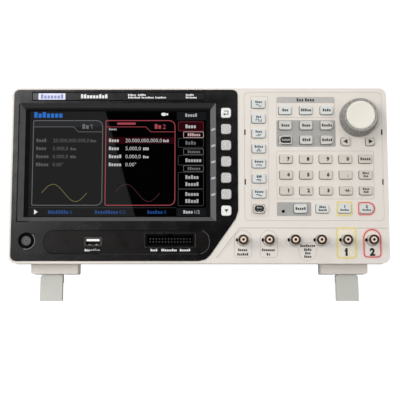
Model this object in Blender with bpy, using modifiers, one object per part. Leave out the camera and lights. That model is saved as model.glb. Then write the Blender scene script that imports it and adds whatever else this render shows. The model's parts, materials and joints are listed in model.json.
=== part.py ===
"""Bench function generator, leaning back on its two tilt legs.

Every piece is placed in the instrument's own axes: X to the operator's right, Y into the case and Z up,
with the front panel's bottom edge CASE_BOTTOM above the X axis. The empty called instrument carries them
all. It leans back until the legs and the rear feet are flat on the floor, and puts the origin under the
middle.
"""

import math

import bmesh
import bpy
from mathutils import Matrix, Vector

# Driving dimensions, in metres.
WIDTH = 0.385
HEIGHT = 0.182
CASE_BOTTOM = 0.0013
LEAN = math.radians(7.2)
STAND = 0.0381
FIT_GAP = 0.0003
ARC_STEPS = 3
ROUND_STEPS = 16

# Front case: a 5 mm front plate with a skirt behind it.
FRONT_PLATE = 0.005
SKIRT_DEPTH = 0.014
FRONT_WALL = 0.0025
FRONT_CORNER = 0.007
POCKET_FLOOR = 0.0037
PANEL_BACK = POCKET_FLOOR - FIT_GAP

# Display bezel: its slanted lower right side leaves room for the connectors.
BEZEL_LEFT = -0.1904
BEZEL_RIGHT = 0.0392
BEZEL_TOP = 0.1803
BEZEL_BOTTOM = 0.0041
BEZEL_PROUD = 0.001
BEZEL_CORNER = 0.005
BEZEL_SLANT_CORNER = 0.014
BEZEL_SLANT_FOOT = 0.0067
BEZEL_SLANT_TOP = 0.0505
BEZEL_LEDGE = 0.003

# Display window, from the outer edge of its bevel to the opening.
WINDOW_OUTER = (-0.1845, 0.0444, 0.0170, 0.1663)
WINDOW_INNER = (-0.1788, 0.0487, 0.0113, 0.1599)
MODULE_BOX = (-0.1830, 0.0420, 0.0155, 0.1700)
MODULE_BACK = 0.0115

# Key panel.
PANEL_BOX = (0.0463, 0.0450, 0.1874, 0.1776)
PANEL_CORNER = 0.004
PANEL_LEDGE = 0.004
HOOK_SLOT = (0.0010, 0.0052)
HOOK_HEIGHTS = (0.0845, 0.1360)

# Keys: width, height and the corner radii, from the top left one clockwise.
SOFT_KEY = (0.0101, 0.0102, (0.0018, 0.0026, 0.0026, 0.0018))
WAVE_KEY = (0.0136, 0.0091, (0.0014,) * 4)
MODE_KEY = (0.0130, 0.0090, (0.0018,) * 4)
NUMBER_KEY = (0.0130, 0.0089, (0.0014,) * 4)
ROUND_LEFT_KEY = (0.0130, 0.0090, (0.0044, 0.0014, 0.0014, 0.0044))
ROUND_RIGHT_KEY = (0.0130, 0.0090, (0.0014, 0.0044, 0.0044, 0.0014))
LOCAL_KEY = (0.0120, 0.0096, (0.0047,) * 4)
ARROW_LEFT_KEY = (0.0092, 0.0086, (0.0042, 0.0010, 0.0010, 0.0042))
ARROW_RIGHT_KEY = (0.0092, 0.0086, (0.0010, 0.0042, 0.0042, 0.0010))
KEY_PLAY = 0.0003
KEY_PROUD = 0.0020
SOFT_KEY_PROUD = 0.0028
KEY_FLANGE = 0.0009
FLANGE_DEPTH = 0.0012
STEM_SIZE = 0.0040
STEM_END = 0.0072
SWITCH_SIZE = 0.0060
SWITCH_FRONT = 0.0085
BOARD_FRONT = 0.0120
BOARD_THICKNESS = 0.0016
BOARD_BITE = 0.0005

# Where the keys stand.
SOFT_X = 0.0274
SOFT_TOP = 0.1557
SOFT_PITCH = 0.01682
WAVE_X = 0.0608
WAVE_TOP = 0.1655
WAVE_PITCH = 0.01552
MODE_X = 0.0881
MODE_PITCH_X = 0.0213
MODE_ROWS = (0.1588, 0.1429, 0.1277)
NUMBER_X = 0.0885
NUMBER_PITCH_X = 0.0202
NUMBER_TOP = 0.1080
NUMBER_PITCH_Z = 0.01625
OUTPUT_X = 0.1025
OUTPUT_PITCH_X = 0.0223
OUTPUT_Z = 0.0570
ARROW_Z = 0.1261
ARROW_LEFT_X = 0.1496
ARROW_RIGHT_X = 0.1749

# Knob and its encoder.
KNOB_X = 0.1631
KNOB_Z = 0.1505
KNOB_BASE_RADIUS = 0.0195
KNOB_TOP_RADIUS = 0.0175
KNOB_REACH = 0.0172
KNOB_GAP = 0.0010
KNOB_BORE = 0.0146
SHAFT_RADIUS = 0.0030
SHAFT_END = 0.0112
BUSH_RADIUS = 0.0045
BUSH_END = 0.0010
ENCODER_SIZE = 0.0125
ENCODER_FRONT = 0.0062

# Power button.
POWER_X = -0.1747
POWER_Z = 0.0244
POWER_RADIUS = 0.0057
POWER_HOLE = 0.0061
POWER_DISH = (0.0083, 0.0068)
POWER_DISH_DEPTH = 0.0016
POWER_FRONT = -0.0004

# Front sockets.
USB_X = -0.1073
USB_Z = 0.0236
USB_WINDOW = (0.0184, 0.0102)
USB_SHELL = (0.0174, 0.0090)
USB_CAVITY = (0.0125, 0.0051)
USB_TONGUE = (0.0111, 0.0018)
HEADER_X = -0.0296
HEADER_Z = 0.0249
HEADER_WINDOW = (0.0502, 0.0135)
HEADER_SHELL = (0.0494, 0.0127)
HEADER_CAVITY = (0.0458, 0.0094)
HEADER_NOTCH = 0.0045
SOCKET_FRONT = -0.0006
SOCKET_DEPTH = 0.0090

# Output connectors.
JACK_COUNT = 6
JACK_X = 0.0441
JACK_PITCH = 0.0261
JACK_Z = 0.0248
JACK_REACH = 0.0120
JACK_RADIUS = 0.00485
JACK_BORE = 0.00405
JACK_NUT_RADIUS = 0.0062
JACK_HOLE = 0.0058
JACK_CORE = 0.0032
JACK_BODY_RADIUS = 0.0070
LUG_RADIUS = 0.0011
LUG_SPAN = 0.0132
LUG_SETBACK = 0.0050

# Rear case: each ring is depth, half width, lift from the underside, top and corner radius.
# The underside rises towards the back.
UNDERSIDE_FRONT = CASE_BOTTOM + 0.0009
UNDERSIDE_SLOPE = 0.0525
REAR_RINGS = (
    (0.0143, 0.1905, 0.0000, 0.1800, 0.006),
    (0.1400, 0.1905, 0.0000, 0.1800, 0.006),
    (0.2220, 0.1790, 0.0000, 0.1670, 0.008),
    (0.2310, 0.1720, 0.0040, 0.1610, 0.006),
)
REAR_WALL = 0.0025
VENT_COUNT = 12
VENT_START = 0.0400
VENT_PITCH = 0.0080
VENT_SIZE = (0.0030, 0.0700)
VENT_MIDDLE = 0.0950
GRILLE_COUNT = 13
GRILLE_X = 0.0400
GRILLE_PITCH = 0.0065
GRILLE_SIZE = (0.0030, 0.0600)
INLET_X = -0.1250
INLET_Z = 0.0500
INLET_SIZE = (0.0276, 0.0202)
INLET_CAVITY = (0.0240, 0.0165)
INLET_DEPTH = 0.0150
LAN_X = 0.0600
LAN_SIZE = (0.0160, 0.0135)
LAN_CAVITY = (0.0118, 0.0080)
USB_B_X = 0.0950
USB_B_SIZE = (0.0121, 0.0110)
USB_B_CAVITY = (0.0084, 0.0078)
REAR_SOCKET_BODY = 0.0220
REAR_SOCKET_DEPTH = 0.0100

# Feet: (left, bottom, right, top) of the right-hand one, and its depth range.
FRONT_FOOT_BOX = (0.1240, -0.0082, 0.1720, 0.0046)
FRONT_FOOT_DEPTH = (0.0146, 0.0370)
REAR_FOOT_BOX = (0.1686, -0.0113, 0.1752, 0.0150)
REAR_FOOT_DEPTH = (0.2000, 0.2215)
FOOT_CORNER = 0.0014

# Tilt legs, about their pivots. The legs and the rear feet are cut off level with the floor.
LEG_X = 0.1515
LEG_WIDTH = 0.0228
LEG_THICKNESS = 0.0070
LEG_BARREL = 0.0035
LEG_SHOULDER = 0.0024
LEG_NECK = 0.0046
LEG_PIVOT_Y = 0.0228
LEG_PIVOT_Z = -0.0042
LEG_LEAN = math.radians(5.0)
PIVOT_PIN_RADIUS = 0.0015
PIVOT_PIN_REACH = 0.0142
PIVOT_HOLE_RADIUS = 0.0019
LEG_POCKET_WIDTH = 0.0244
LEG_POCKET_FRONT = 0.0181
LEG_POCKET_TOP = -0.0002

# Circuit boards.
KEY_BOARD = (0.0500, 0.0490, 0.1840, 0.1740)
IO_BOARD_HEIGHT = (0.0080, 0.0410)
IO_BOARD_LEFT = -0.1870
IO_ARM = (0.0190, 0.0360, 0.1630)
OUTPUT_BOARD = (0.0375, 0.0090, 0.1850, 0.0405)
MAIN_BOARD = (-0.0650, 0.0450, 0.1650, 0.2190)
MAIN_BOARD_Z = 0.0280
SUPPLY_BOARD = (-0.1680, 0.0700, -0.0820, 0.2150)
SUPPLY_BOARD_Z = 0.0220

COLOURS = {
    "case_white": ((0.80, 0.78, 0.74), 0.50, 0.0),
    "bezel_black": ((0.025, 0.025, 0.027), 0.45, 0.0),
    "panel_white": ((0.78, 0.76, 0.72), 0.50, 0.0),
    "key_white": ((0.80, 0.80, 0.78), 0.55, 0.0),
    "key_dark": ((0.05, 0.05, 0.055), 0.45, 0.0),
    "knob_grey": ((0.33, 0.33, 0.32), 0.60, 0.0),
    "knob_ivory": ((0.85, 0.83, 0.76), 0.40, 0.0),
    "leg_grey": ((0.58, 0.57, 0.54), 0.55, 0.0),
    "screen": ((0.01, 0.01, 0.012), 0.12, 0.0),
    "board_green": ((0.03, 0.16, 0.07), 0.50, 0.0),
    "jack_nickel": ((0.62, 0.58, 0.52), 0.30, 1.0),
}


# ---------------------------------------------------------------- outlines and meshes


def corner_arc(before, corner, after, radius):
    """Points of the arc that rounds a corner between its two neighbours."""
    to_before = (before - corner).normalized()
    to_after = (after - corner).normalized()
    half_angle = to_before.angle(to_after) / 2
    middle = corner + (to_before + to_after).normalized() * radius / math.sin(half_angle)
    start = corner + to_before * radius / math.tan(half_angle) - middle
    end = corner + to_after * radius / math.tan(half_angle) - middle
    turn = start.angle_signed(end)
    steps = max(1, round(ARC_STEPS * abs(turn) / (math.pi / 2)))
    return [middle + Matrix.Rotation(-turn * i / steps, 2) @ start for i in range(steps + 1)]


def rounded(corners):
    """Outline through (x, z, radius) corners, each one rounded by an arc."""
    points = [Vector(corner[:2]) for corner in corners]
    outline = []
    for i, (x, z, radius) in enumerate(corners):
        if radius > 0:
            outline += corner_arc(points[i - 1], points[i], points[(i + 1) % len(points)], radius)
        else:
            outline.append(Vector((x, z)))
    return outline


def box_outline(box, radius=0.0, grow=0.0):
    """Rounded rectangle from (left, bottom, right, top), grown on every side."""
    left, bottom, right, top = box[0] - grow, box[1] - grow, box[2] + grow, box[3] + grow
    corners = ((left, top), (right, top), (right, bottom), (left, bottom))
    return rounded([(x, z, radius) for x, z in corners])


def sized_box(x, z, size):
    """(left, bottom, right, top) of a size centred on x, z."""
    return (x - size[0] / 2, z - size[1] / 2, x + size[0] / 2, z + size[1] / 2)


def key_outline(shape, grow=0.0):
    """Outline of a key about its own centre."""
    width, height, (top_left, top_right, bottom_right, bottom_left) = shape
    right, top = width / 2 + grow, height / 2 + grow
    return rounded(
        [
            (-right, top, top_left + grow),
            (right, top, top_right + grow),
            (right, -top, bottom_right + grow),
            (-right, -top, bottom_left + grow),
        ]
    )


def circle_outline(radius, steps=ROUND_STEPS):
    return [
        Vector((radius * math.cos(math.tau * i / steps), radius * math.sin(math.tau * i / steps)))
        for i in range(steps)
    ]


def moved(outline, x, z):
    return [point + Vector((x, z)) for point in outline]


def bezel_outline(grow=0.0):
    """The display bezel: a rectangle whose lower right corner is cut by a slanted side."""
    slant = Vector((BEZEL_RIGHT - BEZEL_SLANT_FOOT, BEZEL_SLANT_TOP - BEZEL_BOTTOM)).normalized()
    # Growing moves the slanted side outwards, which shifts where it meets the other two sides.
    shift_z = -grow * (1 - slant.x) / slant.y
    shift_x = grow * (1 - slant.y) / slant.x
    corner = BEZEL_CORNER + grow
    return rounded(
        [
            (BEZEL_LEFT - grow, BEZEL_TOP + grow, corner),
            (BEZEL_RIGHT + grow, BEZEL_TOP + grow, corner),
            (BEZEL_RIGHT + grow, BEZEL_SLANT_TOP + shift_z, BEZEL_SLANT_CORNER),
            (BEZEL_SLANT_FOOT + shift_x, BEZEL_BOTTOM - grow, BEZEL_SLANT_CORNER),
            (BEZEL_LEFT - grow, BEZEL_BOTTOM - grow, corner),
        ]
    )


def mesh_of(obj):
    """The evaluated mesh of a temporary object, with doubled points welded. The object is removed."""
    bpy.context.view_layer.update()
    evaluated = obj.evaluated_get(bpy.context.evaluated_depsgraph_get())
    mesh = bpy.data.meshes.new_from_object(evaluated)
    mesh.transform(obj.matrix_world)
    bpy.data.objects.remove(obj)
    shape = bmesh.new()
    shape.from_mesh(mesh)
    bmesh.ops.remove_doubles(shape, verts=shape.verts, dist=1e-6)
    shape.to_mesh(mesh)
    shape.free()
    return mesh


def plate(outline, front, back):
    """Flat plate of an outline in the XZ plane, from front to back along Y."""
    curve = bpy.data.curves.new("plate", "CURVE")
    curve.dimensions = "2D"
    curve.fill_mode = "BOTH"
    curve.extrude = (back - front) / 2
    spline = curve.splines.new("POLY")
    spline.points.add(len(outline) - 1)
    for point, (x, z) in zip(spline.points, outline):
        point.co = (x, z, 0, 1)
    spline.use_cyclic_u = True
    obj = bpy.data.objects.new("plate", curve)
    bpy.context.scene.collection.objects.link(obj)
    obj.rotation_euler.x = math.pi / 2
    obj.location.y = (front + back) / 2
    return mesh_of(obj)


def block(x_range, y_range, z_range):
    """Rectangular block between the given ends."""
    shape = bmesh.new()
    bmesh.ops.create_cube(shape, size=1.0)
    ranges = (x_range, y_range, z_range)
    bmesh.ops.scale(shape, vec=[high - low for low, high in ranges], verts=shape.verts)
    bmesh.ops.translate(shape, vec=[(low + high) / 2 for low, high in ranges], verts=shape.verts)
    mesh = bpy.data.meshes.new("block")
    shape.to_mesh(mesh)
    shape.free()
    return mesh


def turned(profile, steps=ROUND_STEPS):
    """Solid turned about the Y axis from (depth, radius) points that run from the front to the back."""
    mesh = bpy.data.meshes.new("profile")
    points = [(radius, 0, -depth) for depth, radius in profile]
    mesh.from_pydata(points, [(i, i + 1) for i in range(len(points) - 1)], [])
    obj = bpy.data.objects.new("turned", mesh)
    bpy.context.scene.collection.objects.link(obj)
    screw = obj.modifiers.new("turn", "SCREW")
    screw.axis = "Z"
    screw.steps = steps
    screw.render_steps = steps
    screw.use_merge_vertices = True
    screw.merge_threshold = 0.00001
    obj.rotation_euler.x = math.pi / 2
    return mesh_of(obj)


def rod(radius, x_range, y=0.0, z=0.0, steps=12):
    """Round rod along X."""
    shape = bmesh.new()
    length = x_range[1] - x_range[0]
    bmesh.ops.create_cone(shape, cap_ends=True, segments=steps, radius1=radius, radius2=radius, depth=length)
    bmesh.ops.rotate(shape, matrix=Matrix.Rotation(math.pi / 2, 3, "Y"), verts=shape.verts)
    bmesh.ops.translate(shape, vec=((x_range[0] + x_range[1]) / 2, y, z), verts=shape.verts)
    mesh = bpy.data.meshes.new("rod")
    shape.to_mesh(mesh)
    shape.free()
    return mesh


def tapered(outer_box, inner_box, front, back):
    """Four-sided taper from one rectangle at the front to another at the back."""
    shape = bmesh.new()
    bmesh.ops.create_cube(shape, size=1.0)
    for vertex in shape.verts:
        box, depth = (outer_box, front) if vertex.co.y < 0 else (inner_box, back)
        vertex.co.x = box[0] if vertex.co.x < 0 else box[2]
        vertex.co.z = box[1] if vertex.co.z < 0 else box[3]
        vertex.co.y = depth
    mesh = bpy.data.meshes.new("taper")
    shape.to_mesh(mesh)
    shape.free()
    return mesh


def combined(meshes):
    """One mesh that holds several separate ones, for a cutter or for shapes that are added together."""
    shape = bmesh.new()
    for mesh in meshes:
        shape.from_mesh(mesh)
    joined = bpy.data.meshes.new("combined")
    shape.to_mesh(joined)
    shape.free()
    return joined


def shifted(mesh, x=0.0, y=0.0, z=0.0):
    copy = mesh.copy()
    copy.transform(Matrix.Translation((x, y, z)))
    return copy


# ---------------------------------------------------------------- objects


def clear_scene():
    for obj in list(bpy.data.objects):
        bpy.data.objects.remove(obj)


def new_collection(name, hidden=False):
    collection = bpy.data.collections.new(name)
    collection.hide_render = hidden
    bpy.context.scene.collection.children.link(collection)
    return collection


def make_materials():
    materials = {}
    for name, (colour, roughness, metallic) in COLOURS.items():
        material = bpy.data.materials.new(name)
        material.use_nodes = True
        shader = material.node_tree.nodes["Principled BSDF"]
        shader.inputs["Base Color"].default_value = (*colour, 1)
        shader.inputs["Roughness"].default_value = roughness
        shader.inputs["Metallic"].default_value = metallic
        materials[name] = material
    return materials


clear_scene()
PARTS = new_collection("function_generator")
CUTTERS = new_collection("cutters", hidden=True)
MATERIALS = make_materials()
INSTRUMENT = bpy.data.objects.new("instrument", None)
PARTS.objects.link(INSTRUMENT)


def add_part(name, mesh, material, location=(0, 0, 0)):
    """A named piece of the instrument, in its own place."""
    obj = bpy.data.objects.new(name, mesh)
    obj.location = location
    obj.parent = INSTRUMENT
    mesh.materials.clear()
    mesh.materials.append(MATERIALS[material])
    mesh.shade_smooth()
    mesh.set_sharp_from_angle(angle=math.radians(30))
    PARTS.objects.link(obj)
    return obj


def boolean(obj, mesh, operation):
    """Cuts or adds a mesh, which is held by a helper object in the same place."""
    helper = bpy.data.objects.new(f"{obj.name}_{operation.lower()}", mesh)
    helper.location = obj.location
    helper.parent = INSTRUMENT
    helper.hide_render = True
    helper.display_type = "WIRE"
    CUTTERS.objects.link(helper)
    modifier = obj.modifiers.new(operation.lower(), "BOOLEAN")
    modifier.operation = operation
    modifier.object = helper
    return obj


def cut(obj, *meshes):
    for mesh in meshes:
        boolean(obj, mesh, "DIFFERENCE")
    return obj


def add(obj, *meshes):
    for mesh in meshes:
        boolean(obj, mesh, "UNION")
    return obj


def cut_holes(obj, outlines):
    """Cuts outlines right through a plate of the front."""
    return cut(obj, combined([plate(outline, -0.01, 0.01) for outline in outlines]))


def solid_mesh(base, added=(), removed=()):
    """One mesh made by Booleans, for a shape that several pieces share."""
    obj = bpy.data.objects.new("solid", base)
    bpy.context.scene.collection.objects.link(obj)
    for operation, meshes in (("UNION", added), ("DIFFERENCE", removed)):
        for mesh in meshes:
            boolean(obj, mesh, operation)
    helpers = [modifier.object for modifier in obj.modifiers]
    mesh = mesh_of(obj)
    for helper in helpers:
        bpy.data.objects.remove(helper)
    return mesh


# ---------------------------------------------------------------- where the keys stand


def soft_key_places():
    names = ("back", "menu_1", "menu_2", "menu_3", "menu_4", "menu_5", "page")
    return [(f"key_{name}", SOFT_KEY, SOFT_X, SOFT_TOP - SOFT_PITCH * i) for i, name in enumerate(names)]


def wave_key_places():
    names = ("sine", "square", "ramp", "pulse", "noise", "arbitrary", "harmonic")
    places = [(f"key_{name}", WAVE_KEY, WAVE_X, WAVE_TOP - WAVE_PITCH * i) for i, name in enumerate(names)]
    return [*places, ("key_local", LOCAL_KEY, WAVE_X, WAVE_TOP - WAVE_PITCH * len(names))]


def mode_key_places():
    rows = (
        (("modulate", MODE_KEY), ("sweep", MODE_KEY), ("burst", MODE_KEY)),
        (("print", MODE_KEY), ("store", MODE_KEY), ("trigger", ROUND_RIGHT_KEY)),
        (("channel", ROUND_LEFT_KEY), ("help", MODE_KEY), ("utility", ROUND_RIGHT_KEY)),
    )
    return [
        (f"key_{name}", shape, MODE_X + MODE_PITCH_X * column, z)
        for row, z in zip(rows, MODE_ROWS)
        for column, (name, shape) in enumerate(row)
    ]


def number_key_places():
    rows = (
        ("7", "8", "9", "0", "cancel"),
        ("4", "5", "6", "point", "delete"),
        ("1", "2", "3", "sign", "enter"),
    )
    return [
        (f"key_{name}", NUMBER_KEY, NUMBER_X + NUMBER_PITCH_X * column, NUMBER_TOP - NUMBER_PITCH_Z * row)
        for row, names in enumerate(rows)
        for column, name in enumerate(names)
    ]


def output_key_places():
    shapes = (
        ("counter", MODE_KEY),
        ("digital", MODE_KEY),
        ("output_1", NUMBER_KEY),
        ("output_2", ROUND_RIGHT_KEY),
    )
    return [
        (f"key_{name}", shape, OUTPUT_X + OUTPUT_PITCH_X * column, OUTPUT_Z)
        for column, (name, shape) in enumerate(shapes)
    ]


def arrow_key_places():
    return [
        ("key_arrow_left", ARROW_LEFT_KEY, ARROW_LEFT_X, ARROW_Z),
        ("key_arrow_right", ARROW_RIGHT_KEY, ARROW_RIGHT_X, ARROW_Z),
    ]


SOFT_KEYS = soft_key_places()
PANEL_KEYS = (
    wave_key_places() + mode_key_places() + number_key_places() + output_key_places() + arrow_key_places()
)


def key_hole(shape, x, z):
    return moved(key_outline(shape, KEY_PLAY), x, z)


# ---------------------------------------------------------------- casings


def make_front_case():
    """White frame: a thin rim round the bezel, pockets for the bezel and the key panel, and a skirt."""
    outer = (-WIDTH / 2, CASE_BOTTOM, WIDTH / 2, HEIGHT)
    case = add_part("front_case", plate(box_outline(outer, FRONT_CORNER), 0, SKIRT_DEPTH), "case_white")
    inside = box_outline(outer, FRONT_CORNER - FRONT_WALL, -FRONT_WALL)
    through = (-0.01, 2 * SKIRT_DEPTH)
    cut(case, plate(inside, FRONT_PLATE, 2 * SKIRT_DEPTH))
    cut(case, plate(bezel_outline(FIT_GAP), -0.01, POCKET_FLOOR))
    cut(case, plate(bezel_outline(-BEZEL_LEDGE), *through))
    cut(case, plate(box_outline(PANEL_BOX, PANEL_CORNER, FIT_GAP), -0.01, POCKET_FLOOR))
    cut(case, plate(box_outline(PANEL_BOX, 0.001, -PANEL_LEDGE), *through))
    jack_holes = plate(circle_outline(JACK_HOLE + FIT_GAP), *through)
    cut(case, combined([shifted(jack_holes, JACK_X + JACK_PITCH * i, 0, JACK_Z) for i in range(JACK_COUNT)]))


def make_display_bezel():
    """Black plate with a bevelled display window and holes for keys, power button and two sockets."""
    bezel = add_part("display_bezel", plate(bezel_outline(), -BEZEL_PROUD, PANEL_BACK), "bezel_black")
    cut_holes(
        bezel,
        [
            box_outline(WINDOW_INNER),
            moved(circle_outline(POWER_HOLE), POWER_X, POWER_Z),
            box_outline(sized_box(USB_X, USB_Z, USB_WINDOW)),
            box_outline(sized_box(HEADER_X, HEADER_Z, HEADER_WINDOW)),
            *[key_hole(shape, x, z) for _, shape, x, z in SOFT_KEYS],
        ],
    )
    # The bevel's cutter starts 1 mm in front of the bezel, on the same slope.
    bevel_depth = PANEL_BACK + BEZEL_PROUD - 0.0006
    slope = [(inner - outer) / bevel_depth for inner, outer in zip(WINDOW_INNER, WINDOW_OUTER)]
    lead = [outer - 0.001 * step for outer, step in zip(WINDOW_OUTER, slope)]
    cut(bezel, tapered(lead, WINDOW_INNER, -BEZEL_PROUD - 0.001, -BEZEL_PROUD + bevel_depth))
    dish = turned(
        [
            (-BEZEL_PROUD - 0.001, 0),
            (-BEZEL_PROUD - 0.001, POWER_DISH[0]),
            (-BEZEL_PROUD, POWER_DISH[0]),
            (-BEZEL_PROUD + POWER_DISH_DEPTH, POWER_DISH[1]),
            (-BEZEL_PROUD + POWER_DISH_DEPTH, 0),
        ]
    )
    cut(bezel, shifted(dish, POWER_X, 0, POWER_Z))


def make_key_panel():
    """White plate with holes for its keys, the knob's bush and a lamp, and four hook slots."""
    panel = add_part("key_panel", plate(box_outline(PANEL_BOX, PANEL_CORNER), 0, PANEL_BACK), "panel_white")
    bush_hole = moved(circle_outline(BUSH_RADIUS + FIT_GAP), KNOB_X, KNOB_Z)
    hook_slots = [
        box_outline(sized_box(x, z, (2 * HOOK_SLOT[0], HOOK_SLOT[1])))
        for x in (PANEL_BOX[0], PANEL_BOX[2])
        for z in HOOK_HEIGHTS
    ]
    key_holes = [key_hole(shape, x, z) for _, shape, x, z in PANEL_KEYS]
    cut_holes(panel, [bush_hole, *hook_slots, *key_holes])


def underside(depth):
    """Height of the rear case's underside."""
    return UNDERSIDE_FRONT + UNDERSIDE_SLOPE * depth


def rear_shell():
    """Open-fronted shell, a loft through the unlike rings that is closed at the back."""
    shape = bmesh.new()
    rings = []
    for depth, half_width, lift, top, radius in REAR_RINGS:
        outline = box_outline((-half_width, underside(depth) + lift, half_width, top), radius)
        rings.append([shape.verts.new((x, depth, z)) for x, z in outline])
    for near, far in zip(rings, rings[1:]):
        for i in range(len(near)):
            shape.faces.new((near[i - 1], near[i], far[i], far[i - 1]))
    shape.faces.new(rings[-1])
    bmesh.ops.recalc_face_normals(shape, faces=shape.faces)
    mesh = bpy.data.meshes.new("rear_shell")
    shape.to_mesh(mesh)
    shape.free()
    return mesh


def foot_block(box, depth_range):
    """One foot under the case, on the right side, with rounded lower edges."""
    left, bottom, right, top = box
    outline = [(left, top, 0), (right, top, 0), (right, bottom, FOOT_CORNER), (left, bottom, FOOT_CORNER)]
    return plate(rounded(outline), *depth_range)


def below_floor(y=0.0, z=0.0):
    """Everything below the floor, seen from the point y, z of the instrument."""
    mesh = block((-WIDTH, WIDTH), (-WIDTH, WIDTH), (-WIDTH, 0))
    mesh.transform(Matrix.Translation((0, -y, -STAND - z)) @ Matrix.Rotation(LEAN, 4, "X"))
    return mesh


def mirrored(mesh):
    """The mesh and its mirror image across the YZ plane."""
    shape = bmesh.new()
    shape.from_mesh(mesh)
    bmesh.ops.scale(shape, vec=(-1, 1, 1), verts=shape.verts)
    bmesh.ops.reverse_faces(shape, faces=shape.faces)
    shape.from_mesh(mesh)
    both = bpy.data.meshes.new("mirrored")
    shape.to_mesh(both)
    shape.free()
    return both


def make_rear_case():
    """White rear shell with vents, socket openings, four feet and a pocket for each tilt leg."""
    case = add_part("rear_case", rear_shell(), "case_white")
    wall = case.modifiers.new("wall", "SOLIDIFY")
    wall.thickness = REAR_WALL
    wall.offset = -1
    wall.use_even_offset = True
    add(case, mirrored(foot_block(FRONT_FOOT_BOX, FRONT_FOOT_DEPTH)))
    add(case, mirrored(foot_block(REAR_FOOT_BOX, REAR_FOOT_DEPTH)))
    half_pocket = LEG_POCKET_WIDTH / 2
    pocket_depth = (LEG_POCKET_FRONT, FRONT_FOOT_DEPTH[1] + 0.001)
    pocket = block((LEG_X - half_pocket, LEG_X + half_pocket), pocket_depth, (-0.02, LEG_POCKET_TOP))
    pin_reach = PIVOT_PIN_REACH + FIT_GAP
    pin_hole = rod(PIVOT_HOLE_RADIUS, (LEG_X - pin_reach, LEG_X + pin_reach), LEG_PIVOT_Y, LEG_PIVOT_Z)
    cut(case, mirrored(pocket), mirrored(pin_hole), below_floor())

    half_slot = VENT_SIZE[0] / 2
    heights = (VENT_MIDDLE - VENT_SIZE[1] / 2, VENT_MIDDLE + VENT_SIZE[1] / 2)
    vents = [
        block((-WIDTH, WIDTH), (y - half_slot, y + half_slot), heights)
        for y in (VENT_START + VENT_PITCH * i for i in range(VENT_COUNT))
    ]
    cut(case, combined(vents))
    back = REAR_RINGS[-1][0]
    first = GRILLE_X - GRILLE_PITCH * (GRILLE_COUNT - 1) / 2
    grille = [sized_box(first + GRILLE_PITCH * i, VENT_MIDDLE, GRILLE_SIZE) for i in range(GRILLE_COUNT)]
    cut(case, combined([plate(box_outline(box), back - 0.01, back + 0.01) for box in grille]))
    openings = (
        sized_box(INLET_X, INLET_Z, INLET_SIZE),
        rear_socket_box(LAN_X, LAN_SIZE),
        rear_socket_box(USB_B_X, USB_B_SIZE),
    )
    cut(case, combined([plate(box_outline(box, 0, FIT_GAP), back - 0.01, back + 0.01) for box in openings]))


# ---------------------------------------------------------------- boards and sockets


def switches(places):
    """Push switches behind the keys, sunk a little into the board."""
    half = SWITCH_SIZE / 2
    return combined(
        [
            block((x - half, x + half), (SWITCH_FRONT, BOARD_FRONT + BOARD_BITE), (z - half, z + half))
            for _, _, x, z in places
        ]
    )


def make_display_module():
    """Display panel: a glass-fronted cell in a frame."""
    add_part("display_module", plate(box_outline(MODULE_BOX), POCKET_FLOOR, MODULE_BACK), "screen")


def make_key_board():
    """Board behind the key panel, with a switch behind every key and the knob's encoder."""
    board = plate(box_outline(KEY_BOARD), BOARD_FRONT, BOARD_FRONT + BOARD_THICKNESS)
    board = add_part("key_board", board, "board_green")
    add(board, switches(PANEL_KEYS))
    half = ENCODER_SIZE / 2
    encoder = block((-half, half), (ENCODER_FRONT, BOARD_FRONT + BOARD_BITE), (-half, half))
    bush_root = ENCODER_FRONT + 0.001
    bush = turned([(BUSH_END, 0), (BUSH_END, BUSH_RADIUS), (bush_root, BUSH_RADIUS), (bush_root, 0)])
    bore_end, bore_radius = SHAFT_END + FIT_GAP, SHAFT_RADIUS + FIT_GAP
    bore = turned([(-0.01, 0), (-0.01, bore_radius), (bore_end, bore_radius), (bore_end, 0)])
    add(board, shifted(encoder, KNOB_X, 0, KNOB_Z), shifted(bush, KNOB_X, 0, KNOB_Z))
    cut(board, shifted(bore, KNOB_X, 0, KNOB_Z))


def socket(x, z, shell, cavity):
    """Rectangular socket body that reaches from the bezel's face back into the board."""
    body = plate(box_outline(sized_box(x, z, shell)), SOCKET_FRONT, BOARD_FRONT + BOARD_BITE)
    hollow = plate(box_outline(sized_box(x, z, cavity)), SOCKET_FRONT - 0.001, SOCKET_FRONT + SOCKET_DEPTH)
    return body, hollow


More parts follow.
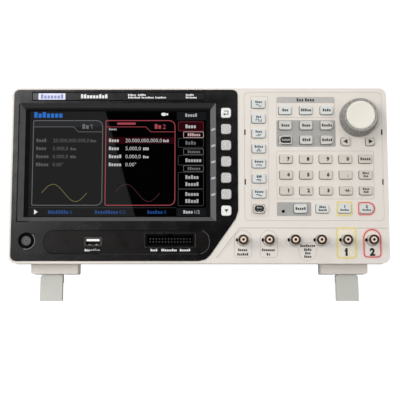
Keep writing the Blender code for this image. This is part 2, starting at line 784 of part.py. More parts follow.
def make_io_board():
    """L-shaped board behind the bezel: soft key switches, power switch, USB socket and ribbon header."""
    low, high = IO_BOARD_HEIGHT
    arm_left, arm_right, arm_top = IO_ARM
    outline = [
        Vector(point)
        for point in (
            (IO_BOARD_LEFT, low),
            (arm_right, low),
            (arm_right, arm_top),
            (arm_left, arm_top),
            (arm_left, high),
            (IO_BOARD_LEFT, high),
        )
    ]
    board = plate(outline, BOARD_FRONT, BOARD_FRONT + BOARD_THICKNESS)
    board = add_part("front_io_board", board, "board_green")
    add(board, switches([*SOFT_KEYS, ("power", None, POWER_X, POWER_Z)]))
    usb_body, usb_hollow = socket(USB_X, USB_Z, USB_SHELL, USB_CAVITY)
    header_body, header_hollow = socket(HEADER_X, HEADER_Z, HEADER_SHELL, HEADER_CAVITY)
    add(board, combined([usb_body, header_body]))
    notch_top = HEADER_Z + HEADER_SHELL[1] / 2 + 0.001
    notch = block(
        (HEADER_X - HEADER_NOTCH / 2, HEADER_X + HEADER_NOTCH / 2),
        (SOCKET_FRONT - 0.001, SOCKET_FRONT + SOCKET_DEPTH),
        (HEADER_Z, notch_top),
    )
    cut(board, combined([usb_hollow, header_hollow]), notch)
    tongue_z = USB_Z + USB_CAVITY[1] / 2 - USB_TONGUE[1] - 0.0004
    tongue = block(
        (USB_X - USB_TONGUE[0] / 2, USB_X + USB_TONGUE[0] / 2),
        (SOCKET_FRONT + 0.0008, SOCKET_FRONT + SOCKET_DEPTH + 0.001),
        (tongue_z, tongue_z + USB_TONGUE[1]),
    )
    add(board, tongue)


def coaxial_jack():
    """Bayonet jack about the Y axis: barrel, insulated core, fixing nut, rear body and two lugs."""
    floor = -0.0040
    profile = [
        (-JACK_REACH + 0.0012, 0),
        (-JACK_REACH + 0.0012, JACK_CORE),
        (floor, JACK_CORE),
        (floor, JACK_BORE),
        (-JACK_REACH, JACK_BORE),
        (-JACK_REACH, JACK_RADIUS),
        (-0.0022, JACK_RADIUS),
        (-0.0022, JACK_NUT_RADIUS),
        (-FIT_GAP, JACK_NUT_RADIUS),
        (-FIT_GAP, JACK_HOLE),
        (FRONT_PLATE + FIT_GAP, JACK_HOLE),
        (FRONT_PLATE + FIT_GAP, JACK_BODY_RADIUS),
        (BOARD_FRONT + BOARD_BITE, JACK_BODY_RADIUS),
        (BOARD_FRONT + BOARD_BITE, 0),
    ]
    lug_depth = -JACK_REACH + LUG_SETBACK
    inner = JACK_BORE + (JACK_RADIUS - JACK_BORE) / 2
    lugs = combined(
        [
            rod(LUG_RADIUS, (-LUG_SPAN / 2, -inner), lug_depth, steps=8),
            rod(LUG_RADIUS, (inner, LUG_SPAN / 2), lug_depth, steps=8),
        ]
    )
    return solid_mesh(turned(profile, 12), added=[lugs])


def make_output_board():
    """Board with the six coaxial output jacks, which stand through the front case."""
    board = plate(box_outline(OUTPUT_BOARD), BOARD_FRONT, BOARD_FRONT + BOARD_THICKNESS)
    board = add_part("output_board", board, "jack_nickel")
    jack = coaxial_jack()
    add(board, combined([shifted(jack, JACK_X + JACK_PITCH * i, 0, JACK_Z) for i in range(JACK_COUNT)]))


def board_in_case(board_box, height):
    """Horizontal board from (left, front, right, back)."""
    left, front, right, back = board_box
    return block((left, right), (front, back), (height, height + BOARD_THICKNESS))


def case_floor(depth):
    """Height just above the rear case's inner floor."""
    return underside(depth) + REAR_WALL + 2 * FIT_GAP


def standoffs(board_box, height):
    """Four posts that carry a board above the case floor."""
    left, front, right, back = board_box
    inset, half = 0.010, 0.003
    return combined(
        [
            block((x - half, x + half), (y - half, y + half), (case_floor(y), height + BOARD_BITE))
            for x in (left + inset, right - inset)
            for y in (front + inset, back - inset)
        ]
    )


def rear_socket_box(x, size):
    """(left, bottom, right, top) of a socket that stands on the main board."""
    bottom = MAIN_BOARD_Z + BOARD_THICKNESS - BOARD_BITE
    return (x - size[0] / 2, bottom, x + size[0] / 2, bottom + size[1])


def rear_socket(x, size, cavity):
    """Body and cavity of a socket that shows through the rear wall."""
    back = REAR_RINGS[-1][0]
    box = rear_socket_box(x, size)
    body = plate(box_outline(box), back - REAR_SOCKET_BODY, back - FIT_GAP)
    hollow = box_outline(sized_box(x, (box[1] + box[3]) / 2, cavity))
    return body, plate(hollow, back - REAR_SOCKET_DEPTH, back + 0.001)


def make_main_board():
    """Signal board: finned heat sink, shield can, network socket and USB device socket."""
    board = add_part("main_board", board_in_case(MAIN_BOARD, MAIN_BOARD_Z), "board_green")
    add(board, standoffs(MAIN_BOARD, MAIN_BOARD_Z))
    top = MAIN_BOARD_Z + BOARD_THICKNESS - BOARD_BITE
    shield = block((0.075, 0.150), (0.060, 0.130), (top, top + 0.012))
    sink_base = block((-0.045, 0.035), (0.070, 0.150), (top, top + 0.006))
    fins = [
        block((-0.045 + 0.010 * i, -0.0425 + 0.010 * i), (0.070, 0.150), (top + 0.005, top + 0.026))
        for i in range(8)
    ]
    lan_body, lan_hollow = rear_socket(LAN_X, LAN_SIZE, LAN_CAVITY)
    usb_body, usb_hollow = rear_socket(USB_B_X, USB_B_SIZE, USB_B_CAVITY)
    add(board, combined([shield, sink_base]), combined(fins), combined([lan_body, usb_body]))
    cut(board, combined([lan_hollow, usb_hollow]))


def make_power_supply():
    """Mains supply: board, transformer, two capacitors, heat sink and the mains inlet in the rear wall."""
    supply = add_part("power_supply", board_in_case(SUPPLY_BOARD, SUPPLY_BOARD_Z), "board_green")
    add(supply, standoffs(SUPPLY_BOARD, SUPPLY_BOARD_Z))
    top = SUPPLY_BOARD_Z + BOARD_THICKNESS - BOARD_BITE
    transformer = block((-0.145, -0.105), (0.120, 0.155), (top, top + 0.034))
    heat_sink = block((-0.162, -0.158), (0.085, 0.165), (top, top + 0.030))
    capacitors = []
    for x in (-0.140, -0.110):
        shape = bmesh.new()
        bmesh.ops.create_cone(shape, cap_ends=True, segments=12, radius1=0.010, radius2=0.010, depth=0.030)
        bmesh.ops.translate(shape, vec=(x, 0.095, top + 0.015), verts=shape.verts)
        mesh = bpy.data.meshes.new("capacitor")
        shape.to_mesh(mesh)
        shape.free()
        capacitors.append(mesh)
    back = REAR_RINGS[-1][0]
    body = plate(box_outline(sized_box(INLET_X, INLET_Z, INLET_SIZE)), back - 0.026, back - 0.0003)
    bracket = block((INLET_X - 0.008, INLET_X + 0.008), (back - 0.026, back - 0.018), (top, INLET_Z))
    hollow = plate(box_outline(sized_box(INLET_X, INLET_Z, INLET_CAVITY)), back - INLET_DEPTH, back + 0.001)
    add(supply, combined([transformer, heat_sink, *capacitors]), bracket, body)
    cut(supply, hollow)


# ---------------------------------------------------------------- moving pieces


def key_mesh(shape, proud):
    """Key cap with the flange that holds it behind the panel and the stem that presses its switch."""
    cap = plate(key_outline(shape), -proud, POCKET_FLOOR + FLANGE_DEPTH / 2)
    flange = plate(
        box_outline(sized_box(0, 0, (shape[0] + 2 * KEY_FLANGE, shape[1] + 2 * KEY_FLANGE))),
        POCKET_FLOOR,
        POCKET_FLOOR + FLANGE_DEPTH,
    )
    half = STEM_SIZE / 2
    stem = block((-half, half), (POCKET_FLOOR + FLANGE_DEPTH / 2, STEM_END), (-half, half))
    return solid_mesh(cap, added=[flange, stem])


def make_keys():
    """Every push key has its origin on the line that it moves along."""
    meshes = {}
    for places, proud in ((SOFT_KEYS, SOFT_KEY_PROUD), (PANEL_KEYS, KEY_PROUD)):
        for name, shape, x, z in places:
            if shape not in meshes:
                meshes[shape] = key_mesh(shape, proud)
            dark = name == "key_local"
            add_part(name, meshes[shape], "key_dark" if dark else "key_white", (x, 0, z))


def make_power_button():
    profile = [
        (POWER_FRONT, 0),
        (POWER_FRONT, POWER_RADIUS),
        (POCKET_FLOOR, POWER_RADIUS),
        (POCKET_FLOOR, POWER_HOLE + KEY_FLANGE),
        (POCKET_FLOOR + FLANGE_DEPTH, POWER_HOLE + KEY_FLANGE),
        (POCKET_FLOOR + FLANGE_DEPTH, STEM_SIZE / 2),
        (STEM_END, STEM_SIZE / 2),
        (STEM_END, 0),
    ]
    add_part("power_button", turned(profile), "bezel_black", (POWER_X, 0, POWER_Z))


def make_knob():
    """Grey grip ring round an ivory hub. The hub carries the encoder's shaft."""
    front = -KNOB_REACH
    grip = [
        (front, KNOB_BORE + FIT_GAP),
        (front, KNOB_TOP_RADIUS),
        (-KNOB_GAP - 0.0015, KNOB_BASE_RADIUS),
        (-KNOB_GAP, KNOB_BASE_RADIUS),
        (-KNOB_GAP, KNOB_BORE + FIT_GAP),
    ]
    add_part("knob_grip", turned([*grip, grip[0]], 32), "knob_grey", (KNOB_X, 0, KNOB_Z))
    hub = [
        (front + 0.0002, 0),
        (front + 0.0002, KNOB_BORE),
        (-KNOB_GAP, KNOB_BORE),
        (-KNOB_GAP, KNOB_BORE - 0.002),
        (front + 0.003, KNOB_BORE - 0.002),
        (front + 0.003, SHAFT_RADIUS),
        (SHAFT_END, SHAFT_RADIUS),
        (SHAFT_END, 0),
    ]
    add_part("knob_hub", turned(hub, 24), "knob_ivory", (KNOB_X, 0, KNOB_Z))


def leg_mesh():
    """Tilt leg about its pivot: a plate with cut shoulders, a round top and two pivot pins."""
    half = LEG_WIDTH / 2
    outline = [
        Vector(point)
        for point in (
            (-half + LEG_SHOULDER, 0),
            (half - LEG_SHOULDER, 0),
            (half - LEG_SHOULDER, -LEG_NECK),
            (half, -LEG_NECK - LEG_SHOULDER),
            (half, -STAND),
            (-half, -STAND),
            (-half, -LEG_NECK - LEG_SHOULDER),
            (-half + LEG_SHOULDER, -LEG_NECK),
        )
    ]
    leaf = plate(outline, -LEG_THICKNESS / 2, LEG_THICKNESS / 2)
    barrel = rod(LEG_BARREL, (-half + LEG_SHOULDER, half - LEG_SHOULDER))
    pin = rod(PIVOT_PIN_RADIUS, (-PIVOT_PIN_REACH, PIVOT_PIN_REACH))
    for mesh in (leaf, barrel, pin):
        mesh.transform(Matrix.Rotation(-LEG_LEAN, 4, "X"))
    return solid_mesh(leaf, added=[barrel, pin], removed=[below_floor(LEG_PIVOT_Y, LEG_PIVOT_Z)])


def make_legs():
    mesh = leg_mesh()
    for side, x in (("left", -LEG_X), ("right", LEG_X)):
        add_part(f"tilt_leg_{side}", mesh, "leg_grey", (x, LEG_PIVOT_Y, LEG_PIVOT_Z))


# ---------------------------------------------------------------- standing on the floor


def lean_back():
    """Leans the instrument back on the floor, with the origin under the middle of its depth."""
    INSTRUMENT.rotation_euler.x = -LEAN
    bpy.context.view_layer.update()
    graph = bpy.context.evaluated_depsgraph_get()
    depths = [
        (obj.matrix_world @ vertex.co).y
        for obj in PARTS.objects
        if obj.type == "MESH"
        for vertex in obj.evaluated_get(graph).data.vertices
    ]
    INSTRUMENT.location = (0, -(min(depths) + max(depths)) / 2, STAND * math.cos(LEAN))


make_front_case()
make_display_bezel()
make_key_panel()
make_rear_case()
make_display_module()
make_key_board()
make_io_board()
make_output_board()
make_main_board()
make_power_supply()
make_keys()
make_power_button()
make_knob()
make_legs()
lean_back()
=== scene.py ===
"""Looks of the function generator: finishes, legends, screen picture, jacks, knob and sockets.

Everything is drawn in the instrument's own axes, as the CAD is: x to the operator's right, y into the case
from the front plane and z up from the front panel's bottom edge. PLACE takes a piece to the row frame.
Words are shown as rows of plain blocks. The only real characters are digits, their points and commas, a
stroke, a degree sign, and plus and minus.
"""

import json
import math
import random

import bmesh
import bpy
from mathutils import Matrix, Vector


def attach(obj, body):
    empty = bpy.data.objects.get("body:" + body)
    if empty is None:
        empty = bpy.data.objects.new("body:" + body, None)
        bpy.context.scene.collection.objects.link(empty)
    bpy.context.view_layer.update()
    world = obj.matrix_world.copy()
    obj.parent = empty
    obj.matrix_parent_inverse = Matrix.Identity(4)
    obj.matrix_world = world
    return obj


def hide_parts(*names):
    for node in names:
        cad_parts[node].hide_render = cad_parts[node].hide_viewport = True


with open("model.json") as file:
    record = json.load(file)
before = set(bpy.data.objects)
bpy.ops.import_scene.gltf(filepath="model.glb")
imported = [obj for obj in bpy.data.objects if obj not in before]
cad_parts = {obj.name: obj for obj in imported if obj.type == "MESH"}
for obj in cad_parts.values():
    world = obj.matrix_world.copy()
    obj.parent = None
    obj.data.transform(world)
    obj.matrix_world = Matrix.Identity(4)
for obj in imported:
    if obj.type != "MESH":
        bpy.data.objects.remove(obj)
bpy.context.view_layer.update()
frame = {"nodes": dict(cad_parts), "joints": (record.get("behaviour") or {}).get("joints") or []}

# Print: one layer of ink stands this far out of the surface, and its back is a little inside it.
INK = 0.00006
INK_BITE = 0.00004

# Turns flat text and curves so that they face the operator.
STAND_UP = Matrix.Rotation(math.pi / 2, 4, "X")

# Blocks that stand for a word's letters. The pitch is a share of the word's height, the width and margin
# are shares of the pitch, and the short letters' height is a share of the tall ones'.
LETTER_PITCH = 0.74
LETTER_WIDTH = 0.74
LETTER_MARGIN = 0.14
SHORT_LETTER = 0.74
TALL_CHANCE = 0.2

# The font's digits: their height at size 1, and the flag that its 1 lacks, in heights from its middle.
DIGIT_HEIGHT = 0.729
DIGIT_ONE_FLAG = ((-0.30, 0.12), (-0.02, 0.50), (0.02, 0.50), (0.02, 0.32), (-0.24, -0.02))

# Depths of the front's surfaces, in metres from the front plane.
PANEL_FACE = 0.0
BEZEL_FACE = -0.0010
SCREEN_FACE = 0.0037
SOCKET_FACE = -0.0006
BOARD_FRONT = 0.0120
BOARD_BACK = 0.0136

# Centres of the knob, power button, sockets and jacks.
KNOB_X = 0.1631
KNOB_Z = 0.1505
POWER_X = -0.1747
POWER_Z = 0.0244
USB_X = -0.1073
USB_Z = 0.0236
RIBBON_X = -0.0296
RIBBON_Z = 0.0249
JACK_X = [0.0441 + 0.0261 * i for i in range(6)]
JACK_Z = 0.0248

# Display window, as left, bottom, right and top of its opening and of its bevel's outer edge.
WINDOW = (-0.1788, 0.0487, 0.0113, 0.1599)
WINDOW_BEVEL = (-0.1845, 0.0444, 0.0170, 0.1663)
BEVEL_DEPTH = 0.0038
SCREEN_LEFT = -0.1742
SCREEN_TOP = 0.1585
SCREEN_WIDTH = 0.1811
SCREEN_HEIGHT = 0.1089

# Key panel: left, bottom, right and top, and the slots for its hooks.
PANEL = (0.0463, 0.0450, 0.1874, 0.1776)
PANEL_CORNER = 0.0040
HOOK_HEIGHTS = (0.0845, 0.1360)


# The instrument's axes


def placement():
    """Matrix from the instrument's axes to the row frame, found from the knob's joint."""
    joint = next(joint for joint in frame["joints"] if joint["name"] == "knob_turn")
    axis = Vector(joint["axis"])
    turn = Matrix.Rotation(math.atan2(axis.z, axis.y), 4, "X")
    centre = turn @ Vector((KNOB_X, 0, KNOB_Z))
    return Matrix.Translation(Vector(joint["pos_m"]) - centre) @ turn


PLACE = placement()
FROM_FRAME = PLACE.inverted()


def local_box(node):
    """Lowest and highest corner of a CAD node in the instrument's axes."""
    points = [FROM_FRAME @ vertex.co for vertex in frame["nodes"][node].data.vertices]
    low = Vector([min(point[i] for point in points) for i in range(3)])
    high = Vector([max(point[i] for point in points) for i in range(3)])
    return low, high


def face_of(node):
    """Middle x, middle z and front of a CAD node in the instrument's axes."""
    low, high = local_box(node)
    return (low.x + high.x) / 2, (low.z + high.z) / 2, low.y


# Outlines of (x, z) points


def arc(x, z, radius, start, end, steps=6):
    """Points of an arc between two angles in degrees."""
    angles = [math.radians(start + (end - start) * i / steps) for i in range(steps + 1)]
    return [(x + radius * math.cos(angle), z + radius * math.sin(angle)) for angle in angles]


def circle(x, z, radius, steps=32):
    """Points of a full circle."""
    return arc(x, z, radius, 0, 360, steps)[:-1]


def box(left, bottom, right, top, radius=0.0, steps=5):
    """Rectangle, with one corner radius or four, from the top left one clockwise."""
    radii = radius if isinstance(radius, tuple) else (radius,) * 4
    corners = ((left, top, 180), (right, top, 90), (right, bottom, 0), (left, bottom, -90))
    points = []
    for (x, z, start), corner in zip(corners, radii):
        inward = 1 if x == left else -1
        upward = 1 if z == bottom else -1
        if corner:
            points += arc(x + inward * corner, z + upward * corner, corner, start, start - 90, steps)
        else:
            points.append((x, z))
    return points


def sized(x, z, width, height, radius=0.0):
    """Rectangle of a size about its middle."""
    return box(x - width / 2, z - height / 2, x + width / 2, z + height / 2, radius)


def two_sides(points, width, closed):
    """The two edges of a stroke of one width along some points, with mitred corners."""
    sides = [], []
    count = len(points)
    for i, point in enumerate(points):
        before = Vector(points[i - 1] if closed or i else point)
        after = Vector(points[(i + 1) % count] if closed or i < count - 1 else point)
        here = Vector(point)
        came = (here - before).normalized() if (here - before).length else (after - here).normalized()
        goes = (after - here).normalized() if (after - here).length else came
        normals = Vector((-came.y, came.x)), Vector((-goes.y, goes.x))
        mitre = normals[0] + normals[1]
        mitre *= width / 2 / max(1 + normals[0].dot(normals[1]), 0.5)
        sides[0].append(tuple(here + mitre))
        sides[1].append(tuple(here - mitre))
    return sides


# Drawing solids


class Sketch:
    """A mesh drawn in the instrument's axes. Each face takes the material that it is drawn with.

    Print lies on the sketch's surface, at one depth. A higher layer of print covers a lower one.
    """

    def __init__(self, surface=0.0):
        self.mesh = bmesh.new()
        self.materials = []
        self.surface = surface

    def index(self, material):
        """Slot of a material, which is added when it's new."""
        if material not in self.materials:
            self.materials.append(material)
        return self.materials.index(material)

    def skin(self, rings, material, capped=True):
        """Joins rings of equally many points. Without caps the last ring joins the first."""
        loops = [[self.mesh.verts.new(point) for point in ring] for ring in rings]
        faces = []
        for near, far in zip(loops, loops[1:] if capped else [*loops[1:], loops[0]]):
            for i in range(len(near)):
                faces.append(self.mesh.faces.new((near[i - 1], near[i], far[i], far[i - 1])))
        if capped:
            faces.append(self.mesh.faces.new(loops[0]))
            faces.append(self.mesh.faces.new(loops[-1]))
        for face in faces:
            face.material_index = self.index(material)

    def prism(self, outline, front, back, material):
        """Solid with one outline between two depths."""
        self.skin([[(x, y, z) for x, z in outline] for y in (front, back)], material)

    def band(self, outer, inner, front, back, material):
        """Frame between two outlines of equally many points."""
        edges = ((outer, front), (outer, back), (inner, back), (inner, front))
        self.skin([[(x, y, z) for x, z in outline] for outline, y in edges], material, capped=False)

    def stroke(self, points, width, front, back, material, closed=False):
        """Bar of one width along some points."""
        left, right = two_sides(points, width, closed)
        if closed:
            self.band(left, right, front, back, material)
        else:
            self.prism([*left, *reversed(right)], front, back, material)

    def turned(self, profile, x, z, material, steps=32, capped=True):
        """Surface of revolution about the y axis through x, z, from (radius, depth) points."""
        rings = [[(px, depth, pz) for px, pz in circle(x, z, radius, steps)] for radius, depth in profile]
        self.skin(rings, material, capped)

    def take(self, mesh, matrix, material):
        """Adds a ready mesh."""
        before = len(self.mesh.faces)
        mesh.transform(matrix)
        self.mesh.from_mesh(mesh)
        self.mesh.faces.ensure_lookup_table()
        for face in self.mesh.faces[before:]:
            face.material_index = self.index(material)
        bpy.data.meshes.remove(mesh)

    def ink(self, outline, material, layer=1):
        """Printed area."""
        self.prism(outline, self.surface - INK * layer, self.surface + INK_BITE, material)

    def line(self, points, width, material, layer=1, closed=False):
        """Printed line."""
        self.stroke(points, width, self.surface - INK * layer, self.surface + INK_BITE, material, closed)

    def word(self, x, z, height, letters, material, layer=1, align="CENTER"):
        """Stand-in for a word: a row of plain blocks, the first one tall, about as dark as print."""
        pitch = LETTER_PITCH * height
        start = {"CENTER": x - pitch * letters / 2, "LEFT": x}[align]
        pick = random.Random(f"{letters} {round(x * 10000)} {round(z * 10000)}")
        bottom = z - height / 2
        for i in range(letters):
            tall = i == 0 or pick.random() < TALL_CHANCE
            left = start + pitch * (i + LETTER_MARGIN)
            top = bottom + height * (1.0 if tall else SHORT_LETTER)
            self.ink(box(left, bottom, left + LETTER_WIDTH * pitch, top), material, layer)

    def digits(self, text, x, z, height, material, layer=1, align="CENTER", bold=0.0):
        """Printed digits of a height, centred on z."""
        curve = bpy.data.curves.new("digits", "FONT")
        curve.body = text
        curve.align_x = align
        curve.resolution_u = 2
        curve.offset = bold
        self.stamp(curve, material, layer, x, z - height / 2, height / DIGIT_HEIGHT)
        if text == "1":
            middle_x = x + {"CENTER": 0.0, "LEFT": 0.25 * height}[align]
            flag = [(middle_x + along * height, z + up * height) for along, up in DIGIT_ONE_FLAG]
            self.ink(flag, material, layer)

    def pierced(self, outlines, material):
        """Printed area with the first outline as its edge and the others as holes."""
        curve = bpy.data.curves.new("pierced", "CURVE")
        curve.dimensions = "2D"
        curve.fill_mode = "BOTH"
        for outline in outlines:
            spline = curve.splines.new("POLY")
            spline.points.add(len(outline) - 1)
            spline.use_cyclic_u = True
            for point, (x, z) in zip(spline.points, outline):
                point.co = (x, z, 0, 1)
        self.stamp(curve, material)

    def stamp(self, curve, material, layer=1, x=0.0, z=0.0, scale=1.0):
        """Prints a flat curve or text, whose origin comes to x, z."""
        curve.extrude = (INK * layer + INK_BITE) / 2 / scale
        middle = self.surface + (INK_BITE - INK * layer) / 2
        place = Matrix.Translation((x, middle, z)) @ STAND_UP @ Matrix.Scale(scale, 4)
        self.take(curve_mesh(curve), place, material)

    def piece(self, name, body, slot=None, smooth=30):
        """Ends the drawing: one named piece that rides on a body."""
        bmesh.ops.recalc_face_normals(self.mesh, faces=self.mesh.faces)
        data = bpy.data.meshes.new(name)
        self.mesh.to_mesh(data)
        self.mesh.free()
        data.transform(PLACE)
        for material in self.materials:
            data.materials.append(material)
        data.shade_smooth()
        data.set_sharp_from_angle(angle=math.radians(smooth))
        piece = bpy.data.objects.new(name, data)
        bpy.context.scene.collection.objects.link(piece)
        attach(piece, body)
        return piece


def curve_mesh(curve):
    """Mesh of a curve or text, which is removed."""
    holder = bpy.data.objects.new("drawn", curve)
    bpy.context.scene.collection.objects.link(holder)
    mesh = bpy.data.meshes.new_from_object(holder.evaluated_get(bpy.context.evaluated_depsgraph_get()))
    bpy.data.objects.remove(holder)
    bpy.data.curves.remove(curve)
    return mesh


# Materials. Colours are given as 0 to 255 values.

GLASS_BLACK = (2.64, 2.64, 3.30)
MASK_GREEN = (24, 92, 52)


def linear(colour):
    """Linear colour, as the shaders take it."""
    parts = [value / 255 for value in colour]
    return tuple(part / 12.92 if part <= 0.04045 else ((part + 0.055) / 1.055) ** 2.4 for part in parts)


def shades(colour, dark, light):
    """A darker and a lighter tone of a colour."""
    parts = linear(colour)
    return [(*(min(1.0, part * factor) for part in parts), 1.0) for factor in (dark, light)]


class Finish:
    """A node material: named nodes are added one by one and joined."""

    def __init__(self, name, roughness, metallic=0.0, specular=0.5):
        self.material = bpy.data.materials.new(name)
        self.material.use_nodes = True
        self.tree = self.material.node_tree
        self.shader = self.tree.nodes["Principled BSDF"]
        self.shader.inputs["Roughness"].default_value = roughness
        self.shader.inputs["Metallic"].default_value = metallic
        self.shader.inputs["Specular IOR Level"].default_value = specular
        self.place = self.node("ShaderNodeTexCoord").outputs["Object"]

    def node(self, kind, links=None, **settings):
        """Adds a node. Its inputs take a socket, which is linked, or a value."""
        node = self.tree.nodes.new(kind)
        for key, value in settings.items():
            setattr(node, key, value)
        for key, value in (links or {}).items():
            if isinstance(value, bpy.types.NodeSocket):
                self.tree.links.new(value, node.inputs[key])
            else:
                node.inputs[key].default_value = value
        return node

    def set(self, socket, value):
        self.tree.links.new(value, self.shader.inputs[socket])

    def noise(self, scale, detail=3.0, stretch=None):
        """Noise of a scale in cells per metre, optionally stretched along an axis."""
        place = self.place
        if stretch:
            place = self.node("ShaderNodeMapping", {"Vector": place, "Scale": stretch}).outputs["Vector"]
        made = self.node("ShaderNodeTexNoise", {"Vector": place, "Scale": scale, "Detail": detail})
        return made.outputs["Fac"]

    def spread(self, value, low, high, start=0.3, end=0.7):
        """Maps a value between two ends to a range."""
        links = {"Value": value, "From Min": start, "From Max": end, "To Min": low, "To Max": high}
        return self.node("ShaderNodeMapRange", links).outputs["Result"]

    def between(self, value, first, second, start=0.3, end=0.7):
        """Colour that goes from one to another as a noise rises."""
        ramp = self.node("ShaderNodeValToRGB", {"Fac": value})
        ramp.color_ramp.elements[0].position = start
        ramp.color_ramp.elements[0].color = first
        ramp.color_ramp.elements[1].position = end
        ramp.color_ramp.elements[1].color = second
        return ramp.outputs["Color"]

    def bump(self, height, depth, strength=1.0, under=None):
        """Relief of a depth in metres, over another relief."""
        links = {"Height": height, "Distance": depth, "Strength": strength}
        if under:
            links["Normal"] = under
        return self.node("ShaderNodeBump", links).outputs["Normal"]


def moulded(name, colour, roughness=0.48, grain=1700, depth=0.00005, tint=0.035, specular=0.5):
    """Moulded plastic: spark-eroded grain, faint flow marks in the colour and uneven gloss."""
    finish = Finish(name, roughness, specular=specular)
    flow = finish.noise(14, 4.0)
    finish.set("Base Color", finish.between(flow, *shades(colour, 1 - tint, 1 + tint)))
    finish.set("Roughness", finish.spread(finish.noise(90, 3.0), roughness - 0.05, roughness + 0.06))
    fine = finish.bump(finish.noise(grain, 2.0), depth, 0.55)
    finish.set("Normal", finish.bump(finish.noise(120, 2.0), depth * 2, 0.10, fine))
    return finish.material


def mottled(name, colour, roughness, contrast, scale):
    """Soft moulded rubber with pale dust in its grain."""
    finish = Finish(name, roughness)
    dust = finish.noise(scale, 3.0)
    tones = shades(colour, 1 - contrast, 1 + contrast)
    finish.set("Base Color", finish.between(dust, *tones, 0.38, 0.62))
    finish.set("Roughness", finish.spread(finish.noise(300, 3.0), roughness - 0.08, roughness + 0.12))
    finish.set("Normal", finish.bump(finish.noise(1300, 3.0), 0.00012, 0.8))
    return finish.material


def printed(name, colour, roughness=0.42):
    """Screen-printed ink: a slightly uneven film."""
    finish = Finish(name, roughness)
    finish.set("Base Color", finish.between(finish.noise(420, 3.0), *shades(colour, 0.93, 1.05)))
    finish.set("Roughness", finish.spread(finish.noise(900, 2.0), roughness - 0.06, roughness + 0.08))
    finish.set("Normal", finish.bump(finish.noise(2600, 2.0), 0.00001, 0.4))
    return finish.material


def metal(name, colour, roughness):
    """Plated metal with fine machining marks and slightly dull patches."""
    finish = Finish(name, roughness, metallic=1.0)
    finish.set("Base Color", finish.between(finish.noise(240, 4.0), *shades(colour, 0.86, 1.06)))
    marks = finish.noise(500, 2.0, (1.0, 30.0, 1.0))
    finish.set("Roughness", finish.spread(marks, roughness - 0.06, roughness + 0.10))
    finish.set("Normal", finish.bump(marks, 0.00002, 0.30))
    return finish.material


def glass_front(name):
    """Front glass of the display: nearly black and glossy, with faint smears."""
    finish = Finish(name, 0.02)
    smears = finish.noise(60, 3.0)
    finish.set("Base Color", finish.between(smears, *shades(GLASS_BLACK, 0.7, 1.3)))
    finish.set("Roughness", finish.spread(finish.noise(35, 4.0), 0.012, 0.028))
    return finish.material


def lit(name, colour):
    """Lit part of the screen: glossy like the glass, with the fine rows of the display."""
    finish = Finish(name, 0.02)
    finish.shader.inputs["Base Color"].default_value = (*linear(GLASS_BLACK), 1.0)
    finish.shader.inputs["Emission Strength"].default_value = 1.0
    rows = finish.node("ShaderNodeTexWave", {"Vector": finish.place, "Scale": 900.0, "Distortion": 0.4})
    rows.bands_direction = "Z"
    value = rows.outputs["Fac"]
    finish.set("Emission Color", finish.between(value, *shades(colour, 0.88, 1.0), 0.2, 0.8))
    return finish.material


def circuit_board(name, socket_depth=None, socket_colour=None, socket_metal=0.0):
    """Solder mask over copper, with a pattern of tracks. Sockets behind a depth have their own colour."""
    finish = Finish(name, 0.38)
    tracks = finish.node("ShaderNodeTexVoronoi", {"Vector": finish.place, "Scale": 260.0})
    tracks.distance = "CHEBYCHEV"
    value = tracks.outputs["Distance"]
    colour = finish.between(value, *shades(MASK_GREEN, 0.6, 1.4), 0.35, 0.42)
    finish.set("Normal", finish.bump(value, 0.00005, 0.3))
    if socket_depth is None:
        finish.set("Base Color", colour)
        return finish.material
    inward = PLACE.to_3x3() @ Vector((0, 1, 0))
    links = {0: finish.place, 1: inward}
    depth = finish.node("ShaderNodeVectorMath", links, operation="DOT_PRODUCT").outputs["Value"]
    edge = inward.dot(PLACE @ Vector((0, socket_depth, 0)))
    is_socket = finish.spread(depth, 0.0, 1.0, edge, edge + 0.0001)
    speckle = finish.between(finish.noise(700), *shades(socket_colour, 0.9, 1.1))
    mix = finish.node("ShaderNodeMix", {"Factor": is_socket, "A": colour, "B": speckle}, data_type="RGBA")
    finish.set("Base Color", mix.outputs["Result"])
    if socket_metal:
        finish.set("Metallic", finish.spread(is_socket, 0.0, socket_metal, 0.0, 1.0))
    return finish.material


CASE_WHITE = moulded("case_plastic", (226, 219, 211), 0.46)
PANEL_WHITE = moulded("panel_plastic", (225, 218, 209), 0.50, grain=2100)
BEZEL_BLACK = moulded("bezel_plastic", (11, 11, 11), 0.24, grain=2300, tint=0.12, specular=0.30)
PILL_BLACK = moulded("pill_plastic", (13, 9, 8), 0.30, grain=2300, tint=0.12, specular=0.20)
DEEP_BLACK = moulded("deep_shadow_plastic", (5, 5, 5), 0.75, tint=0.12, specular=0.08)
# Lit and shaded tones of the window bevel's one grey, painted light and shade: 84 for the lit right side, 52
# for the left and bottom, 38 for the top. The ribs' pale grey is a painted highlight.
BEVEL_LIT_TONE, BEVEL_SHADE_TONE, BEVEL_DEEP_SHADE_TONE, RIB_HIGHLIGHT_GREY = [
    moulded(f"{name}_plastic", (tone, tone, tone + 1), 0.34, grain=2300, tint=0.06)
    for name, tone in (("bevel", 84), ("bevel_painted_shade", 52), ("bevel_painted_deep_shade", 38), ("rib_painted_highlight", 176))
]
STRIP_BLACK = moulded("strip_plastic", (16, 16, 17), 0.26, 2600, depth=0.00002, tint=0.12, specular=0.28)
NUMBER_KEY = moulded("number_key_rubber", (207, 200, 190), 0.55, grain=2600)
GREY_KEY = moulded("function_key_rubber", (205, 202, 196), 0.55, grain=2600)
PALE_KEY = moulded("pale_key_rubber", (213, 216, 213), 0.55, grain=2600)
SOFT_KEY = mottled("soft_key_rubber", (192, 191, 187), 0.60, 0.17, 900)
MARKED_KEY = moulded("marked_key_rubber", (232, 232, 228), 0.55, grain=2600)
